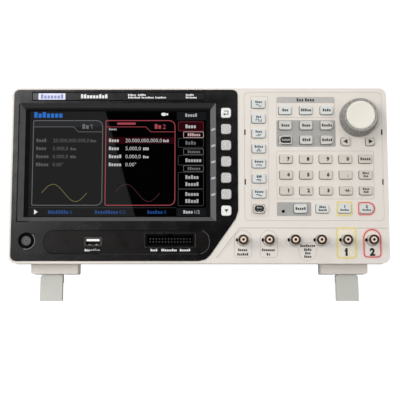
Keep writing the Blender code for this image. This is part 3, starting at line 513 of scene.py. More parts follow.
KNOB_GREY = mottled("knob_rubber", (149, 147, 142), 0.58, 0.30, 600)
KNOB_IVORY = moulded("knob_cap_plastic", (232, 228, 215), 0.38, grain=2400, depth=0.00002)
LEG_GREY = moulded("leg_plastic", (195, 194, 187), 0.50)
SOCKET_BLACK = moulded("socket_plastic", (14, 14, 15), 0.45, tint=0.15)
DIELECTRIC = moulded("jack_insulator", (230, 211, 194), 0.35, tint=0.02)
# Grey of the fill in the key panel's gap: painted shade of the gap.
GAP_FILL_SHADE = moulded("gap_fill_painted_shade", (186, 178, 170), 0.6, tint=0.02)
PORT_WHITE = moulded("port_tongue", (242, 242, 240), 0.40, tint=0.02)
BOARD_GREEN = circuit_board("circuit_board")
MAIN_BOARD = circuit_board("main_circuit_board", 0.2192, (190, 190, 188), 1.0)
SUPPLY_BOARD = circuit_board("supply_circuit_board", 0.2155, (18, 18, 19))
# Pale and not metallic: a painted reflection of the white panel on the jacks' nickel.
REFLECTION_PALE_NICKEL = moulded("jack_nickel", (206, 199, 190), 0.30, grain=900, tint=0.05, specular=0.9)
# Dark brown rim: painted shade and a painted reflection of a dark room. The throat's tone is painted shade in
# the jacks' hollows.
RIM_SHADE_NICKEL = metal("jack_rim_painted_shade", (94, 77, 64), 0.40)
THROAT_SHADE_NICKEL = metal("jack_throat_painted_shade", (40, 33, 28), 0.45)
STEEL = metal("port_steel", (200, 200, 198), 0.28)
PORT_RIM = metal("port_rim", (84, 84, 82), 0.34)
GOLD = metal("contact_gold", (150, 122, 78), 0.32)
SCREEN_GLASS = glass_front("screen_glass")
INK_LINE = printed("ink_fine_line", (178, 168, 160))
INK_GREY = printed("ink_grey", (166, 164, 160))
INK_HEADING = printed("ink_heading", (183, 179, 175))
INK_DARK = printed("ink_dark", (52, 48, 46))
INK_NAVY = printed("ink_navy", (44, 54, 72))
INK_WHITE = printed("ink_white", (226, 226, 224))
INK_SILVER = printed("ink_silver", (104, 104, 104))
# Faint grey for a printed field, and for painted highlights on lit edges.
FAINT_PRINT_AND_HIGHLIGHT = printed("faint_print_and_painted_highlight", (58, 59, 60))
CAP_GREY = printed("power_cap_grey", (44, 44, 45))
# Grey for printed marks, and for painted highlights on lit edges.
PRINT_AND_HIGHLIGHT_GREY = printed("print_and_painted_highlight", (104, 104, 106))
INK_YELLOW = printed("ink_yellow", (229, 211, 142))
INK_CREAM = printed("ink_cream", (231, 224, 206))
INK_RED = printed("ink_red", (168, 52, 58))
INK_PINK = printed("ink_pink", (243, 190, 184))
INK_BLACK = printed("ink_black", (20, 20, 22))
BADGE = printed("badge_face", (218, 220, 246))
BADGE_INK = printed("badge_ink", (128, 132, 178))
GROOVE = printed("groove_shadow", (160, 152, 144), 0.6)
GAP_SHADE = printed("key_gap_shadow", (86, 79, 72), 0.7)


# CAD nodes that stay


def keep(node, material, bevel=0.0, segments=2):
    """Gives a CAD node its finish and rounds its edges. Its own mesh stays as it is."""
    piece = frame["nodes"][node]
    piece.data.materials.clear()
    piece.data.materials.append(material)
    if not bevel:
        return
    weld = piece.modifiers.new("weld", "WELD")
    weld.merge_threshold = 0.00001
    flat = piece.modifiers.new("flat", "DECIMATE")
    flat.decimate_type = "DISSOLVE"
    flat.angle_limit = math.radians(1)
    edges = piece.modifiers.new("edges", "BEVEL")
    edges.width = bevel
    edges.segments = segments
    edges.limit_method = "ANGLE"
    edges.angle_limit = math.radians(32)
    edges.use_clamp_overlap = True
    edges.harden_normals = False
    normals = piece.modifiers.new("normals", "WEIGHTED_NORMAL")
    normals.keep_sharp = False


def finish_casings():
    keep("front_case", CASE_WHITE, 0.0007, 3)
    keep("rear_case", CASE_WHITE, 0.0008)
    keep("key_panel", PANEL_WHITE, 0.00025)
    keep("display_bezel", BEZEL_BLACK, 0.0003)
    keep("display_module", SCREEN_GLASS)
    keep("key_board", BOARD_GREEN)
    keep("main_board", MAIN_BOARD)
    keep("power_supply", SUPPLY_BOARD)
    keep("power_button", BEZEL_BLACK, 0.0004)
    for side in ("left", "right"):
        keep(f"tilt_leg_{side}", LEG_GREY, 0.0007, 3)


# Keys and their legends

MENU_KEYS = ("menu_1", "menu_2", "menu_3", "menu_4", "menu_5")
SOFT_KEYS = ("back", *MENU_KEYS, "page")
FUNCTION_KEYS = ("print", "store", "trigger", "channel", "help", "utility")
OTHER_PALE_KEYS = ("modulate", "sweep", "burst", "counter", "digital", "output_1", "output_2")
BOLD = 0.06

# Waveform marks, one period wide and from -1 to 1 high.
WAVE_SHAPES = {
    "sine": [(i / 16, math.sin(math.tau * i / 16)) for i in range(17)],
    "square": [(0, -1), (0, 1), (0.5, 1), (0.5, -1), (1, -1), (1, 1)],
    "ramp": [(0, -1), (0.5, 1), (0.5, -1), (1, 1)],
    "pulse": [(0, -1), (0.35, -1), (0.35, 1), (0.6, 1), (0.6, -1), (1, -1)],
    "noise": [(i / 9, (-1) ** i * (0.5 + 0.5 * ((i * 7) % 5) / 4)) for i in range(10)],
    "arbitrary": [(0, 0), (0.2, 0.9), (0.35, -0.3), (0.5, 1), (0.7, -1), (0.85, 0.3), (1, 0)],
    "harmonic": [
        (i / 20, 0.7 * math.sin(math.tau * i / 20) + 0.4 * math.sin(3 * math.tau * i / 20))
        for i in range(21)
    ],
}
# Letters in each row of a key's words.
KEY_WORDS = {
    "modulate": (3,),
    "sweep": (5,),
    "burst": (4,),
    "print": (4,),
    "store": (4,),
    "trigger": (5,),
    "help": (4,),
    "utility": (5,),
    "cancel": (5,),
    "delete": (4, 3),
    "enter": (4, 3),
    "counter": (5,),
    "digital": (4, 5),
}


def legend(key, draw):
    """Draws the legend of one key, which rides on it."""
    x, z, face = face_of(f"key_{key}")
    sketch = Sketch(face)
    draw(sketch, x, z)
    sketch.piece(f"legend_{key}", f"key_{key}")


def wave_legend(key):
    def draw(sketch, x, z):
        sketch.word(x, z + 0.0018, 0.0024, 3 + len(key) % 3, INK_NAVY)
        width, height = 0.0054, 0.0011
        left, middle = x - width / 2, z - 0.0018
        shape = [(left + width * along, middle + height * up) for along, up in WAVE_SHAPES[key]]
        sketch.line(shape, 0.00065, INK_NAVY)

    legend(key, draw)


def word_legend(key):
    def draw(sketch, x, z):
        rows = KEY_WORDS[key]
        for row, letters in enumerate(rows):
            height = 0.0029 if len(rows) == 1 else 0.0023
            shift = 0.0 if len(rows) == 1 else 0.0016 - 0.0031 * row
            sketch.word(x, z + shift, height, letters, INK_DARK)

    legend(key, draw)


def digit_legend(key, text, height=0.0036, right=0.0022):
    def draw(sketch, x, z):
        sketch.digits(text, x + right, z, height, INK_BLACK, bold=BOLD)

    legend(key, draw)


def arrow_legend(key, way):
    def draw(sketch, x, z):
        tip, back = x + way * 0.0025, x - way * 0.0018
        sketch.ink([(tip, z), (back, z + 0.0024), (back, z - 0.0024)], INK_BLACK)

    legend(key, draw)


def output_legend(key, number):
    def draw(sketch, x, z):
        sketch.digits(number, x + 0.0002, z + 0.0021, 0.0028, INK_BLACK, bold=BOLD)
        sketch.word(x, z - 0.0014, 0.0020, 6, INK_DARK)

    legend(key, draw)


def draw_legends():
    for key in WAVE_SHAPES:
        wave_legend(key)
    for key in KEY_WORDS:
        word_legend(key)
    for number in range(10):
        digit_legend(str(number), str(number))
    digit_legend("point", ".")
    digit_legend("sign", "+/-", 0.0031, 0.0014)
    arrow_legend("arrow_left", -1)
    arrow_legend("arrow_right", 1)
    output_legend("output_1", "1")
    output_legend("output_2", "2")
    legend("channel", channel_cap)
    legend("local", local_mark)
    legend("back", return_arrow)
    legend("page", down_arrow)


def channel_cap(sketch, x, z):
    """Black field on the key that changes the channel."""
    field = sized(x, z, 0.0108, 0.0066, (0.0032, 0.0006, 0.0006, 0.0032))
    sketch.ink(field, INK_BLACK)
    sketch.word(x + 0.0003, z, 0.0022, 5, INK_GREY, layer=2)


def local_mark(sketch, x, z):
    sketch.ink(sized(x, z, 0.0096, 0.0066, 0.0031), INK_BLACK)
    sketch.word(x, z + 0.0011, 0.0017, 4, INK_GREY, layer=2)
    sketch.line(arc(x, z - 0.0004, 0.0024, 205, 335), 0.00045, INK_GREY, layer=2)


def return_arrow(sketch, x, z):
    left, right, top, bottom = x - 0.0020, x + 0.0020, z + 0.0018, z - 0.0015
    sketch.line([(left, top), (right, top), (right, bottom), (x - 0.0012, bottom)], 0.0008, INK_DARK)
    sketch.ink([(x - 0.0030, bottom), (x - 0.0009, z + 0.0001), (x - 0.0009, z - 0.0031)], INK_DARK)


def down_arrow(sketch, x, z):
    sketch.ink([(x - 0.0021, z + 0.0014), (x + 0.0021, z + 0.0014), (x, z - 0.0019)], INK_DARK)


def key_names():
    """Names of all keys, which their CAD nodes carry after a prefix."""
    names = [node.removeprefix("key_") for node in frame["nodes"] if node.startswith("key_")]
    return [name for name in names if name not in ("board", "panel")]


def finish_keys():
    """Gives each key the rubber of its group."""
    groups = (
        (PALE_KEY, (*WAVE_SHAPES, *OTHER_PALE_KEYS)),
        (GREY_KEY, FUNCTION_KEYS),
        (SOFT_KEY, MENU_KEYS),
        (MARKED_KEY, ("back", "page")),
    )
    rubber = {key: material for material, keys in groups for key in keys}
    for key in key_names():
        keep(f"key_{key}", rubber.get(key, NUMBER_KEY), 0.0006, 3)


# Key panel print


def key_holes(*keys, play=0.0003):
    """Outlines that leave room for the caps of some keys."""
    flange = 0.0009
    holes = []
    for key in keys:
        low, high = local_box(f"key_{key}")
        grow = play - flange
        holes.append(box(low.x - grow, low.z - grow, high.x + grow, high.z + grow, 0.0016))
    return holes


def draw_panel_print():
    """Grey fields, fine outlines and headings round the keys."""
    sketch = Sketch(PANEL_FACE)
    function_field = box(0.0790, 0.1208, 0.1396, 0.1486, 0.0016)
    counter_field = box(0.0787, 0.0496, 0.1136, 0.0636, 0.0014)
    sketch.pierced([function_field, *key_holes(*FUNCTION_KEYS)], INK_GREY)
    sketch.pierced([counter_field, *key_holes("counter")], INK_GREY)
    heading = box(0.0793, 0.1668, 0.1393, 0.1730, (0.0020, 0.0020, 0.0003, 0.0003))
    sketch.ink(heading, INK_HEADING)
    wave_frame = box(0.0528, 0.0496, 0.0705, 0.1736, 0.0015)
    mode_frame = box(0.0793, 0.1513, 0.1393, 0.1668, (0.0003, 0.0003, 0.0018, 0.0018))
    number_frame = box(0.0790, 0.0670, 0.1779, 0.1164, 0.0015)
    for outline in (wave_frame, mode_frame, number_frame):
        sketch.line(outline, 0.00030, INK_LINE, closed=True)
    panel_keys = [key for key in key_names() if key not in SOFT_KEYS]
    for outline in key_holes(*panel_keys, play=0.0001):
        shifted = [(x - 0.0003, z - 0.0002) for x, z in outline]
        sketch.line(shifted, 0.00045, GAP_SHADE, closed=True)
    for x, letters in ((0.1036, 3), (0.1134, 4)):
        sketch.word(x, 0.1699, 0.0034, letters, INK_DARK, layer=2)
    sketch.line(box(0.1397, 0.0503, 0.1547, 0.0637, 0.0010), 0.0017, INK_YELLOW, 2, True)
    red_frame = box(0.1617, 0.0508, 0.1777, 0.0632, (0.0016, 0.0058, 0.0058, 0.0016))
    sketch.line(red_frame, 0.0026, INK_PINK, 2, True)
    sketch.line(red_frame, 0.0008, INK_RED, 3, True)
    sketch.piece("panel_print", "case")

    lamp = Sketch()
    dome = [(0.0016, 0.0002), (0.0016, -0.0002), (0.0011, -0.0005), (0.0004, -0.0006)]
    lamp.turned(dome, 0.0852, 0.0543, DEEP_BLACK, 16)
    lamp.piece("counter_lamp", "case", smooth=60)


def draw_panel_seams():
    """Pale grey fill in the gap round the key panel, painted with the gap's shade, and black painted shade in
    the four hook slots.
    """
    gap_fill = Sketch()
    left, bottom, right, top = PANEL
    outer, inner = [
        box(left - grow, bottom - grow, right + grow, top + grow, PANEL_CORNER) for grow in (0.00026, 0.00004)
    ]
    # The fill's grey is painted shade of the gap.
    gap_fill.band(outer, inner, 0.00012, 0.0030, GAP_FILL_SHADE)
    gap_fill.piece("panel_gap_shade", "case")

    # Black blocks in the hook slots: painted shade.
    slot_shade = Sketch()
    for x in (left, right):
        for z in HOOK_HEIGHTS:
            inward = 0.00044 if x == left else -0.00044
            slot_shade.prism(sized(x + inward, z, 0.0013, 0.0058), -INK, 0.0030, DEEP_BLACK)
    slot_shade.piece("hook_slot_shade", "case")


# Jacks


def draw_jack_print():
    """Outlines, fields and numbers round the jacks, and the shadow line above them."""
    sketch = Sketch(PANEL_FACE)
    first, second, third, fourth, fifth, sixth = JACK_X
    fine = 0.00032
    for x in (first, second):
        shield = box(x - 0.0087, 0.0076, x + 0.0087, 0.0350, (0.0085, 0.0085, 0.0030, 0.0030))
        sketch.line(shield, fine, INK_LINE, closed=True)
    middle = (third + fourth) / 2
    left_bowl = arc(third - 0.0012, 0.0268, 0.0088, 180, 270, 8)
    funnel = arc(middle, 0.0128, 0.0086, 180, 360, 14)
    funnel = [(middle - 0.0098, 0.0180), *funnel, (middle + 0.0098, 0.0180)]
    right_bowl = arc(fourth + 0.0012, 0.0268, 0.0088, 270, 360, 8)
    sketch.line([*left_bowl, *funnel, *right_bowl], fine, INK_LINE)
    sketch.line(arc(middle, 0.0128, 0.0098, 60, 120, 8), fine, INK_LINE)
    sketch.ink(box(0.1384, 0.0064, 0.1590, 0.0381, 0.0030), INK_CREAM)
    sketch.line(box(0.1392, 0.0072, 0.1582, 0.0373, 0.0026), 0.0019, INK_YELLOW, 2, True)
    red_frame = box(0.1662, 0.0080, 0.1832, 0.0358, (0.0084, 0.0084, 0.0036, 0.0036))
    sketch.line(red_frame, 0.0032, INK_PINK, 1, True)
    sketch.line(red_frame, 0.0009, INK_RED, 2, True)
    sketch.digits("1", fifth, 0.0133, 0.0072, INK_BLACK, 4, bold=BOLD)
    sketch.digits("2", sixth, 0.0133, 0.0072, INK_BLACK, 2, bold=BOLD)
    under_first, under_second = first - 0.0004, second - 0.0006
    upper, lower = 0.0152, 0.0108
    words = [(under_first, upper, 5), (under_first, lower, 6)]
    words += [(under_second, upper, 7), (under_second, lower, 2)]
    words += [(middle, z, letters) for z, letters in ((0.0195, 8), (0.0155, 4), (0.0120, 3), (0.0085, 4))]
    for x, z, letters in words:
        sketch.word(x, z, 0.0026, letters, INK_DARK, layer=2)
    step = [(0.1905, 0.0372), (0.0415, 0.0374), (0.0400, 0.0366), (0.0173, 0.0072)]
    sketch.line(step, 0.00045, GROOVE)
    inner_step = [(0.0420, 0.0362), (0.0195, 0.0072)]
    sketch.line(inner_step, 0.00025, GROOVE)
    sketch.piece("jack_print", "case")


def draw_jack(number, x):
    """Bayonet jack: flange, barrel with a dark rim and throat, insulator, contact and two lugs. The pale
    barrel is a painted reflection of the panel; the rim is dark with painted shade and a painted reflection
    of a dark room; the lining, throat, contact hollow and left lug are dark with painted shade.
    """
    z = JACK_Z
    jack = Sketch()
    barrel = [(0.0030, 0.0010), (0.00485, 0.0010), (0.00485, -0.0034), (0.00470, -0.0036)]
    barrel += [(0.00470, -0.0040), (0.00485, -0.0042), (0.00485, -0.0110), (0.00405, -0.0110)]
    barrel += [(0.00405, -0.0040), (0.0030, -0.0040)]
    flange = [(0.0048, -0.0001), (0.0056, -0.0001), (0.0056, -0.0012), (0.0053, -0.0016), (0.0048, -0.0016)]
    rim = [(0.0050, -0.0098), (0.0050, -0.01175), (0.00482, -0.0120), (0.00430, -0.0120), (0.0041, -0.0098)]
    rings = (
        # Collar on the panel, and the shade in its root.
        ([(0.0050, 0.0001), (0.00655, 0.0001), (0.00655, -0.0001), (0.0050, -0.0001)], PANEL_WHITE),
        ([(0.0050, -0.0001), (0.00592, -0.0001), (0.00592, -0.00018), (0.0050, -0.00018)], THROAT_SHADE_NICKEL),
        (flange, REFLECTION_PALE_NICKEL),
        (barrel, REFLECTION_PALE_NICKEL),
        (rim, RIM_SHADE_NICKEL),
        # Lining of the throat, dark with painted shade.
        ([(0.0041, -0.0041), (0.0041, -0.0116), (0.0037, -0.0112), (0.0036, -0.0043)], RIM_SHADE_NICKEL),
    )
    for profile, material in rings:
        jack.turned(profile, x, z, material, capped=False)
    solids = (
        # Throat, insulator, contact and its hollow. The throat and the hollow are dark with painted shade.
        ([(0.0036, -0.0041), (0.0036, -0.0104), (0.0028, -0.0104)], THROAT_SHADE_NICKEL, 32),
        ([(0.0031, -0.0100), (0.0031, -0.0113), (0.0028, -0.0116), (0.0014, -0.0116)], DIELECTRIC, 32),
        ([(0.0014, -0.0112), (0.0014, -0.0118), (0.0011, -0.0118), (0.0011, -0.0114)], GOLD, 16),
        ([(0.0011, -0.0116), (0.0011, -0.01185)], THROAT_SHADE_NICKEL, 16),
        # Body behind the panel.
        ([(0.0056, 0.0003), (0.0056, 0.0050), (0.0069, 0.0056), (0.0069, 0.0122)], REFLECTION_PALE_NICKEL, 24),
    )
    for profile, material, steps in solids:
        jack.turned(profile, x, z, material, steps)
    # Lug on the left, black with painted shade round it, and a short pin on the right.
    jack.prism(sized(x - 0.0063, z + 0.0004, 0.0018, 0.0030, 0.0004), -0.0034, -0.0010, DEEP_BLACK)
    pin = ((0.0045, 0.0010), (0.0056, 0.0010), (0.0058, 0.0008))
    jack.skin([[(x + reach, y, up) for y, up in circle(-0.0070, z, size, 16)] for reach, size in pin], REFLECTION_PALE_NICKEL)
    return jack.piece(f"jack_{number}", "case", "jack_nickel", smooth=40)


def draw_output_board():
    """Board behind the jacks with their ground pins, and the jacks."""
    board = Sketch()
    board.prism(box(0.0375, 0.0090, 0.1850, 0.0405, 0.0010), BOARD_FRONT, BOARD_BACK, BOARD_GREEN)
    for x in JACK_X:
        for side in (-1, 1):
            pin = [(0.0009, BOARD_FRONT - 0.0008), (0.0009, BOARD_BACK)]
            board.turned(pin, x + side * 0.0085, JACK_Z, STEEL, 12)
    board = board.piece("jack_board", "case", "board_green")
    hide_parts("output_board")
    for number, x in enumerate(JACK_X, 1):
        draw_jack(number, x)


# Knob


def draw_knob():
    """Fluted grip ring and a dished cap on the encoder's shaft."""
    flutes, flute_depth = 54, 0.00045
    grip = Sketch()
    outline = [(0.0148, -0.0169), (0.0169, -0.0172), (0.0175, -0.0165), (0.0192, -0.0060), (0.0195, -0.0030)]
    outline += [(0.0195, -0.0010), (0.0149, -0.0010)]
    rings = []
    for level, (radius, depth) in enumerate(outline):
        ring = []
        for i in range(flutes * 4):
            angle = math.tau * i / (flutes * 4)
            cut = flute_depth if i % 4 < 2 and 1 < level < 5 else 0.0
            reach = radius - cut
            ring.append((KNOB_X + reach * math.cos(angle), depth, KNOB_Z + reach * math.sin(angle)))
        rings.append(ring)
    grip.skin(rings, KNOB_GREY, capped=False)
    grip = grip.piece("knob_ring", "knob", "knob_grey", smooth=22)
    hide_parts("knob_grip")

    hub = Sketch()
    cap = [(0.0030, 0.0100), (0.0030, -0.0127), (0.0124, -0.0127), (0.0124, -0.0012), (0.0146, -0.0012)]
    cap += [(0.0146, -0.0166), (0.0144, -0.0170), (0.0140, -0.0172), (0.0120, -0.0170), (0.0060, -0.0165)]
    cap += [(0.0015, -0.0164)]
    hub.turned(cap, KNOB_X, KNOB_Z, KNOB_IVORY, 64)
    hub = hub.piece("knob_cap", "knob", "knob_ivory", smooth=50)
    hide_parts("knob_hub")


# Bezel details and front sockets


def draw_label_strip():
    """Label strip over the display with a blank badge and rows of blocks. A pale line along its bottom and
    right edges is a painted highlight.
    """
    surface = BEZEL_FACE - 0.00018
    strip = Sketch(surface)
    outline = box(-0.1717, 0.1692, 0.0058, 0.1776, 0.0006)
    strip.prism(outline, surface, BEZEL_FACE + INK_BITE, STRIP_BLACK)
    strip.stroke(outline, 0.0009, surface - 0.00008, BEZEL_FACE, DEEP_BLACK, True)
    strip.ink(box(-0.1712, 0.1698, -0.1655, 0.1764, 0.0004), FAINT_PRINT_AND_HIGHLIGHT)
    strip.ink(box(-0.1655, 0.1698, -0.1379, 0.1764, 0.0004), BADGE)
    strip.word(-0.1516, 0.1731, 0.0046, 7, BADGE_INK, layer=2)
    strip.word(-0.1222, 0.1733, 0.0042, 9, INK_WHITE, align="LEFT")
    upper, lower = 0.1748, 0.1721
    small_words = [(-0.0735, upper, 6), (-0.0635, upper, 6), (-0.0140, upper, 6)]
    small_words += [(-0.0735, lower, 9), (-0.0595, lower, 9), (-0.0455, lower, 8), (-0.0140, lower, 8)]
    for x, z, letters in small_words:
        strip.word(x, z, 0.0019, letters, INK_WHITE, align="LEFT")
    # Pale line along the bottom and right edges: painted highlight.
    strip.line([(-0.1712, 0.1690), (0.0060, 0.1690), (0.0060, 0.1776)], 0.0004, PRINT_AND_HIGHLIGHT_GREY)
    strip.piece("label_strip", "case")


def draw_bezel_print():
    """Pill outline round the front sockets, and their labels. Pale lines along the pill's bottom and right
    end are painted highlights.
    """
    sketch = Sketch(BEZEL_FACE)
    pill = box(-0.1572, 0.0116, 0.0097, 0.0346, 0.0105, 8)
    openings = [sized(USB_X, USB_Z, 0.0180, 0.0096), sized(RIBBON_X, RIBBON_Z, 0.0518, 0.0151)]
    sketch.pierced([pill, *openings], PILL_BLACK)
    sketch.line(pill, 0.00075, DEEP_BLACK, 2, True)
    # Pale lines along the bottom and round the right end: painted highlights.
    sketch.line([(-0.1000, 0.0111), (-0.0008, 0.0111)], 0.00035, FAINT_PRINT_AND_HIGHLIGHT)
    right_end = [*arc(-0.0008, 0.0241, 0.0110, 70, 0, 8), *arc(-0.0008, 0.0221, 0.0110, 0, -80, 8)]
    sketch.line(right_end, 0.00045, PRINT_AND_HIGHLIGHT_GREY)
    z = 0.0149
    for x, letters in ((-0.1130, 3), (-0.0458, 4), (-0.0305, 9), (-0.0145, 6)):
        sketch.word(x, z, 0.0024, letters, INK_WHITE, layer=2)
    # Small tree mark beside the USB socket's label.
    root, tip = -0.1090, -0.1015
    sketch.line([(root, z), (tip, z)], 0.0004, INK_WHITE, 2)
    sketch.ink(circle(root, z, 0.0006, 12), INK_WHITE, 2)
    sketch.ink([(tip, z + 0.0006), (tip + 0.0012, z), (tip, z - 0.0006)], INK_WHITE, 2)
    branch = [(-0.1072, z), (-0.1058, z + 0.0011), (-0.1040, z + 0.0011)]
    sketch.line(branch, 0.0003, INK_WHITE, 2)
    sketch.piece("bezel_print", "case")


def draw_power_mark():
    """Rings and the standby mark on the power button. The black ring round the grey centre is painted shade
    of the gap round the button.
    """
    mark = Sketch(face_of("power_button")[2])
    # Black ring: painted shade.
    mark.ink(circle(POWER_X, POWER_Z, 0.0059, 40), DEEP_BLACK)
    mark.ink(circle(POWER_X, POWER_Z, 0.0042, 40), CAP_GREY, 2)
    mark.line(circle(POWER_X, POWER_Z, 0.0042, 40), 0.0004, PRINT_AND_HIGHLIGHT_GREY, 3, True)
    ring = arc(POWER_X, POWER_Z, 0.0022, 120, 420, 20)
    mark.line(ring, 0.00045, PRINT_AND_HIGHLIGHT_GREY, 3)
    mark.line([(POWER_X, POWER_Z + 0.0006), (POWER_X, POWER_Z + 0.0030)], 0.00045, PRINT_AND_HIGHLIGHT_GREY, 4)
    mark.piece("power_mark", "power_button")


def draw_power_collar():
    """Gloss black ring on the slope round the power button: painted shadow of the gap round the button, with
    a pale arc on its lower right as a painted highlight.
    """
    shade_ring = Sketch(BEZEL_FACE)
    profile = [(0.0082, -0.0010), (0.0082, -0.00112), (0.0080, -0.00112), (0.0069, 0.00045)]
    profile += [(0.0063, 0.00045), (0.0063, 0.0007), (0.0068, 0.0007)]
    shade_ring.turned(profile, POWER_X, POWER_Z, DEEP_BLACK, 48, capped=False)
    # Pale arc: painted highlight.
    shade_ring.line(arc(POWER_X, POWER_Z, 0.0086, -110, 45, 20), 0.0007, PRINT_AND_HIGHLIGHT_GREY)
    shade_ring.piece("power_shade_ring", "case", smooth=50)


def bevel_edge(share):
    """Corners of the window's bevel, at a share of the way from its outer to its inner edge."""
    sides = [outer + (inner - outer) * share for outer, inner in zip(WINDOW_BEVEL, WINDOW)]
    return [(x, BEZEL_FACE + BEVEL_DEPTH * share, z) for x, z in box(*sides)]


def draw_window_bevel():
    """Satin skin on the window's bevel, each side in its own grey as painted light and shade, with small ribs
    on its right side level with the menu keys.
    """
    skin = 0.00006
    bevel = Sketch(BEZEL_FACE)
    first = bevel_edge(0.01)
    # Left, top, right and bottom sides: painted light and shade, the right side lightest and the top darkest.
    sides = ((BEVEL_SHADE_TONE, 0.99), (BEVEL_DEEP_SHADE_TONE, 0.70), (BEVEL_LIT_TONE, 0.99), (BEVEL_SHADE_TONE, 0.99))
    for side, (material, share) in enumerate(sides):
        last = bevel_edge(share)
        strip = [first[side - 1], first[side], last[side], last[side - 1]]
        bevel.skin([[(x, y + depth, z) for x, y, z in strip] for depth in (-skin / 2, skin / 2)], material)
    left, bottom, outer, top = WINDOW_BEVEL
    seam = [(left - 0.0004, top - 0.0010), (left - 0.0004, bottom - 0.0004), (left + 0.0120, bottom - 0.0004)]
    bevel.line(seam, 0.0010, DEEP_BLACK)
    bevel.piece("window_bevel", "case")

    # The ribs' pale grey is a painted highlight on them.
    ribs = Sketch()
    inner = WINDOW[2]
    for key in MENU_KEYS:
        z = face_of(f"key_{key}")[1]
        rings = []
        for share in (0.10, 0.86):
            x = outer + (inner - outer) * share
            y = BEZEL_FACE + BEVEL_DEPTH * share
            middle = z + 0.0008 * (0.5 - share)
            section = ((0.0003, -0.0012), (-0.0003, -0.0010), (-0.0003, 0.0010), (0.0003, 0.0012))
            rings.append([(x, y + depth, middle + rise) for depth, rise in section])
        ribs.skin(rings, RIB_HIGHLIGHT_GREY)
    ribs.piece("bevel_ribs", "case")


def draw_front_board():
    """Board behind the bezel with its switches, the USB socket and the ribbon-cable header."""
    board = Sketch()
    outline = [(-0.1870, 0.0080), (0.0360, 0.0080), (0.0360, 0.1630)]
    outline += [(0.0190, 0.1630), (0.0190, 0.0410), (-0.1870, 0.0410)]
    board.prism(outline, BOARD_FRONT, BOARD_BACK, BOARD_GREEN)
    places = [face_of(f"key_{key}")[:2] for key in SOFT_KEYS]
    for x, z in (*places, (POWER_X, POWER_Z)):
        board.prism(sized(x, z, 0.0060, 0.0060, 0.0005), 0.0090, BOARD_FRONT + 0.0003, SOCKET_BLACK)
        board.turned([(0.0016, 0.0085), (0.0017, 0.0091)], x, z, STEEL, 16)
    board = board.piece("front_board", "case", "board_green")
    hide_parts("front_io_board")
    draw_usb_socket()
    draw_ribbon_header()


def draw_usb_socket():
    """Steel shell with a flared rim, a white tongue, four contacts and two springs."""
    x, z, front = USB_X, USB_Z, SOCKET_FACE
    usb = Sketch()
    outer = sized(x, z, 0.0160, 0.0080, 0.0010)
    inner = sized(x, z, 0.0150, 0.0070, 0.0008)
    usb.band(outer, inner, front, BOARD_FRONT, PORT_RIM)
    flared = sized(x, z, 0.0174, 0.0090, 0.0012)
    usb.band(flared, outer, front - 0.0002, front + 0.0004, PORT_RIM)
    usb.prism(inner, 0.0090, BOARD_FRONT, SOCKET_BLACK)
    top = z + 0.0026
    tongue = box(x - 0.0066, top - 0.0022, x + 0.0066, top, 0.0003)
    usb.prism(tongue, front + 0.0004, 0.0095, PORT_WHITE)
    for i in range(4):
        left = x - 0.0045 + 0.0024 * i
        usb.prism(box(left, top - 0.0026, left + 0.0012, top - 0.0021), 0.0004, 0.0090, GOLD)
    for side in (-1, 1):
        usb.prism(sized(x + side * 0.0035, z - 0.0031, 0.0024, 0.0006), 0.0012, 0.0060, STEEL)
    usb.piece("usb_socket", "case", "jack_nickel")


def draw_ribbon_header():
    """Black shell with a key slot in its upper wall, two rows of pins and a pale line along its right side, a
    painted highlight.
    """
    x, z = RIBBON_X, RIBBON_Z
    header = Sketch(BEZEL_FACE)
    width, height, rim, slot = 0.0494, 0.0127, 0.00165, 0.00225
    left, bottom, right, top = x - width / 2, z - height / 2, x + width / 2, z + height / 2
    shell = [(x - slot, top), (left, top), (left, bottom), (right, bottom), (right, top), (x + slot, top)]
    shell += [(x + slot, top - rim), (right - rim, top - rim), (right - rim, bottom + rim)]
    shell += [(left + rim, bottom + rim), (left + rim, top - rim), (x - slot, top - rim)]
    header.prism(shell, SOCKET_FACE, 0.0100, DEEP_BLACK)
    header.prism(sized(x, z, width, height), 0.0084, BOARD_FRONT, DEEP_BLACK)
    columns, pitch = 14, 0.0031
    for column in range(columns):
        for row in (-0.5, 0.5):
            pin_x = x + pitch * (column - (columns - 1) / 2)
            pin_z = z + pitch * row
            rings = []
            for depth, size in ((0.0002, 0.0005), (0.0006, 0.0009), (0.0086, 0.0009)):
                rings.append([(px, depth, pz) for px, pz in sized(pin_x, pin_z, size, size)])
            header.skin(rings, INK_SILVER)
    header.line(sized(x, z, 0.0510, 0.0143, 0.0004), 0.00030, CAP_GREY, closed=True)
    # Pale line on the right side of the opening: painted highlight.
    side = x + 0.0256
    header.line([(side, bottom - 0.0004), (side, top + 0.0004)], 0.00040, FAINT_PRINT_AND_HIGHLIGHT, 2)
    header.piece("ribbon_header", "case")


# Screen picture

UI_WHITE = lit("ui_white", (236, 236, 236))
UI_SOFT = lit("ui_soft_white", (170, 172, 174))
UI_GREY = lit("ui_grey", (104, 105, 106))
UI_DIM = lit("ui_dim", (62, 63, 64))
UI_FIELD = lit("ui_field", (24, 25, 27))
UI_MUTED = lit("ui_muted", (84, 85, 86))
UI_RED = lit("ui_red", (166, 72, 82))
UI_DARK_RED = lit("ui_dark_red", (108, 44, 48))
UI_DEEP_RED = lit("ui_deep_red", (44, 6, 12))
UI_FAINT_RED = lit("ui_faint_red", (82, 48, 47))
UI_PINK = lit("ui_pink", (206, 168, 170))
UI_BLUE = lit("ui_blue", (30, 108, 200))
UI_DEEP_BLUE = lit("ui_deep_blue", (28, 68, 126))
UI_BRIGHT = lit("ui_bright", (188, 188, 188))
UI_YELLOW = lit("ui_yellow", (136, 130, 80))


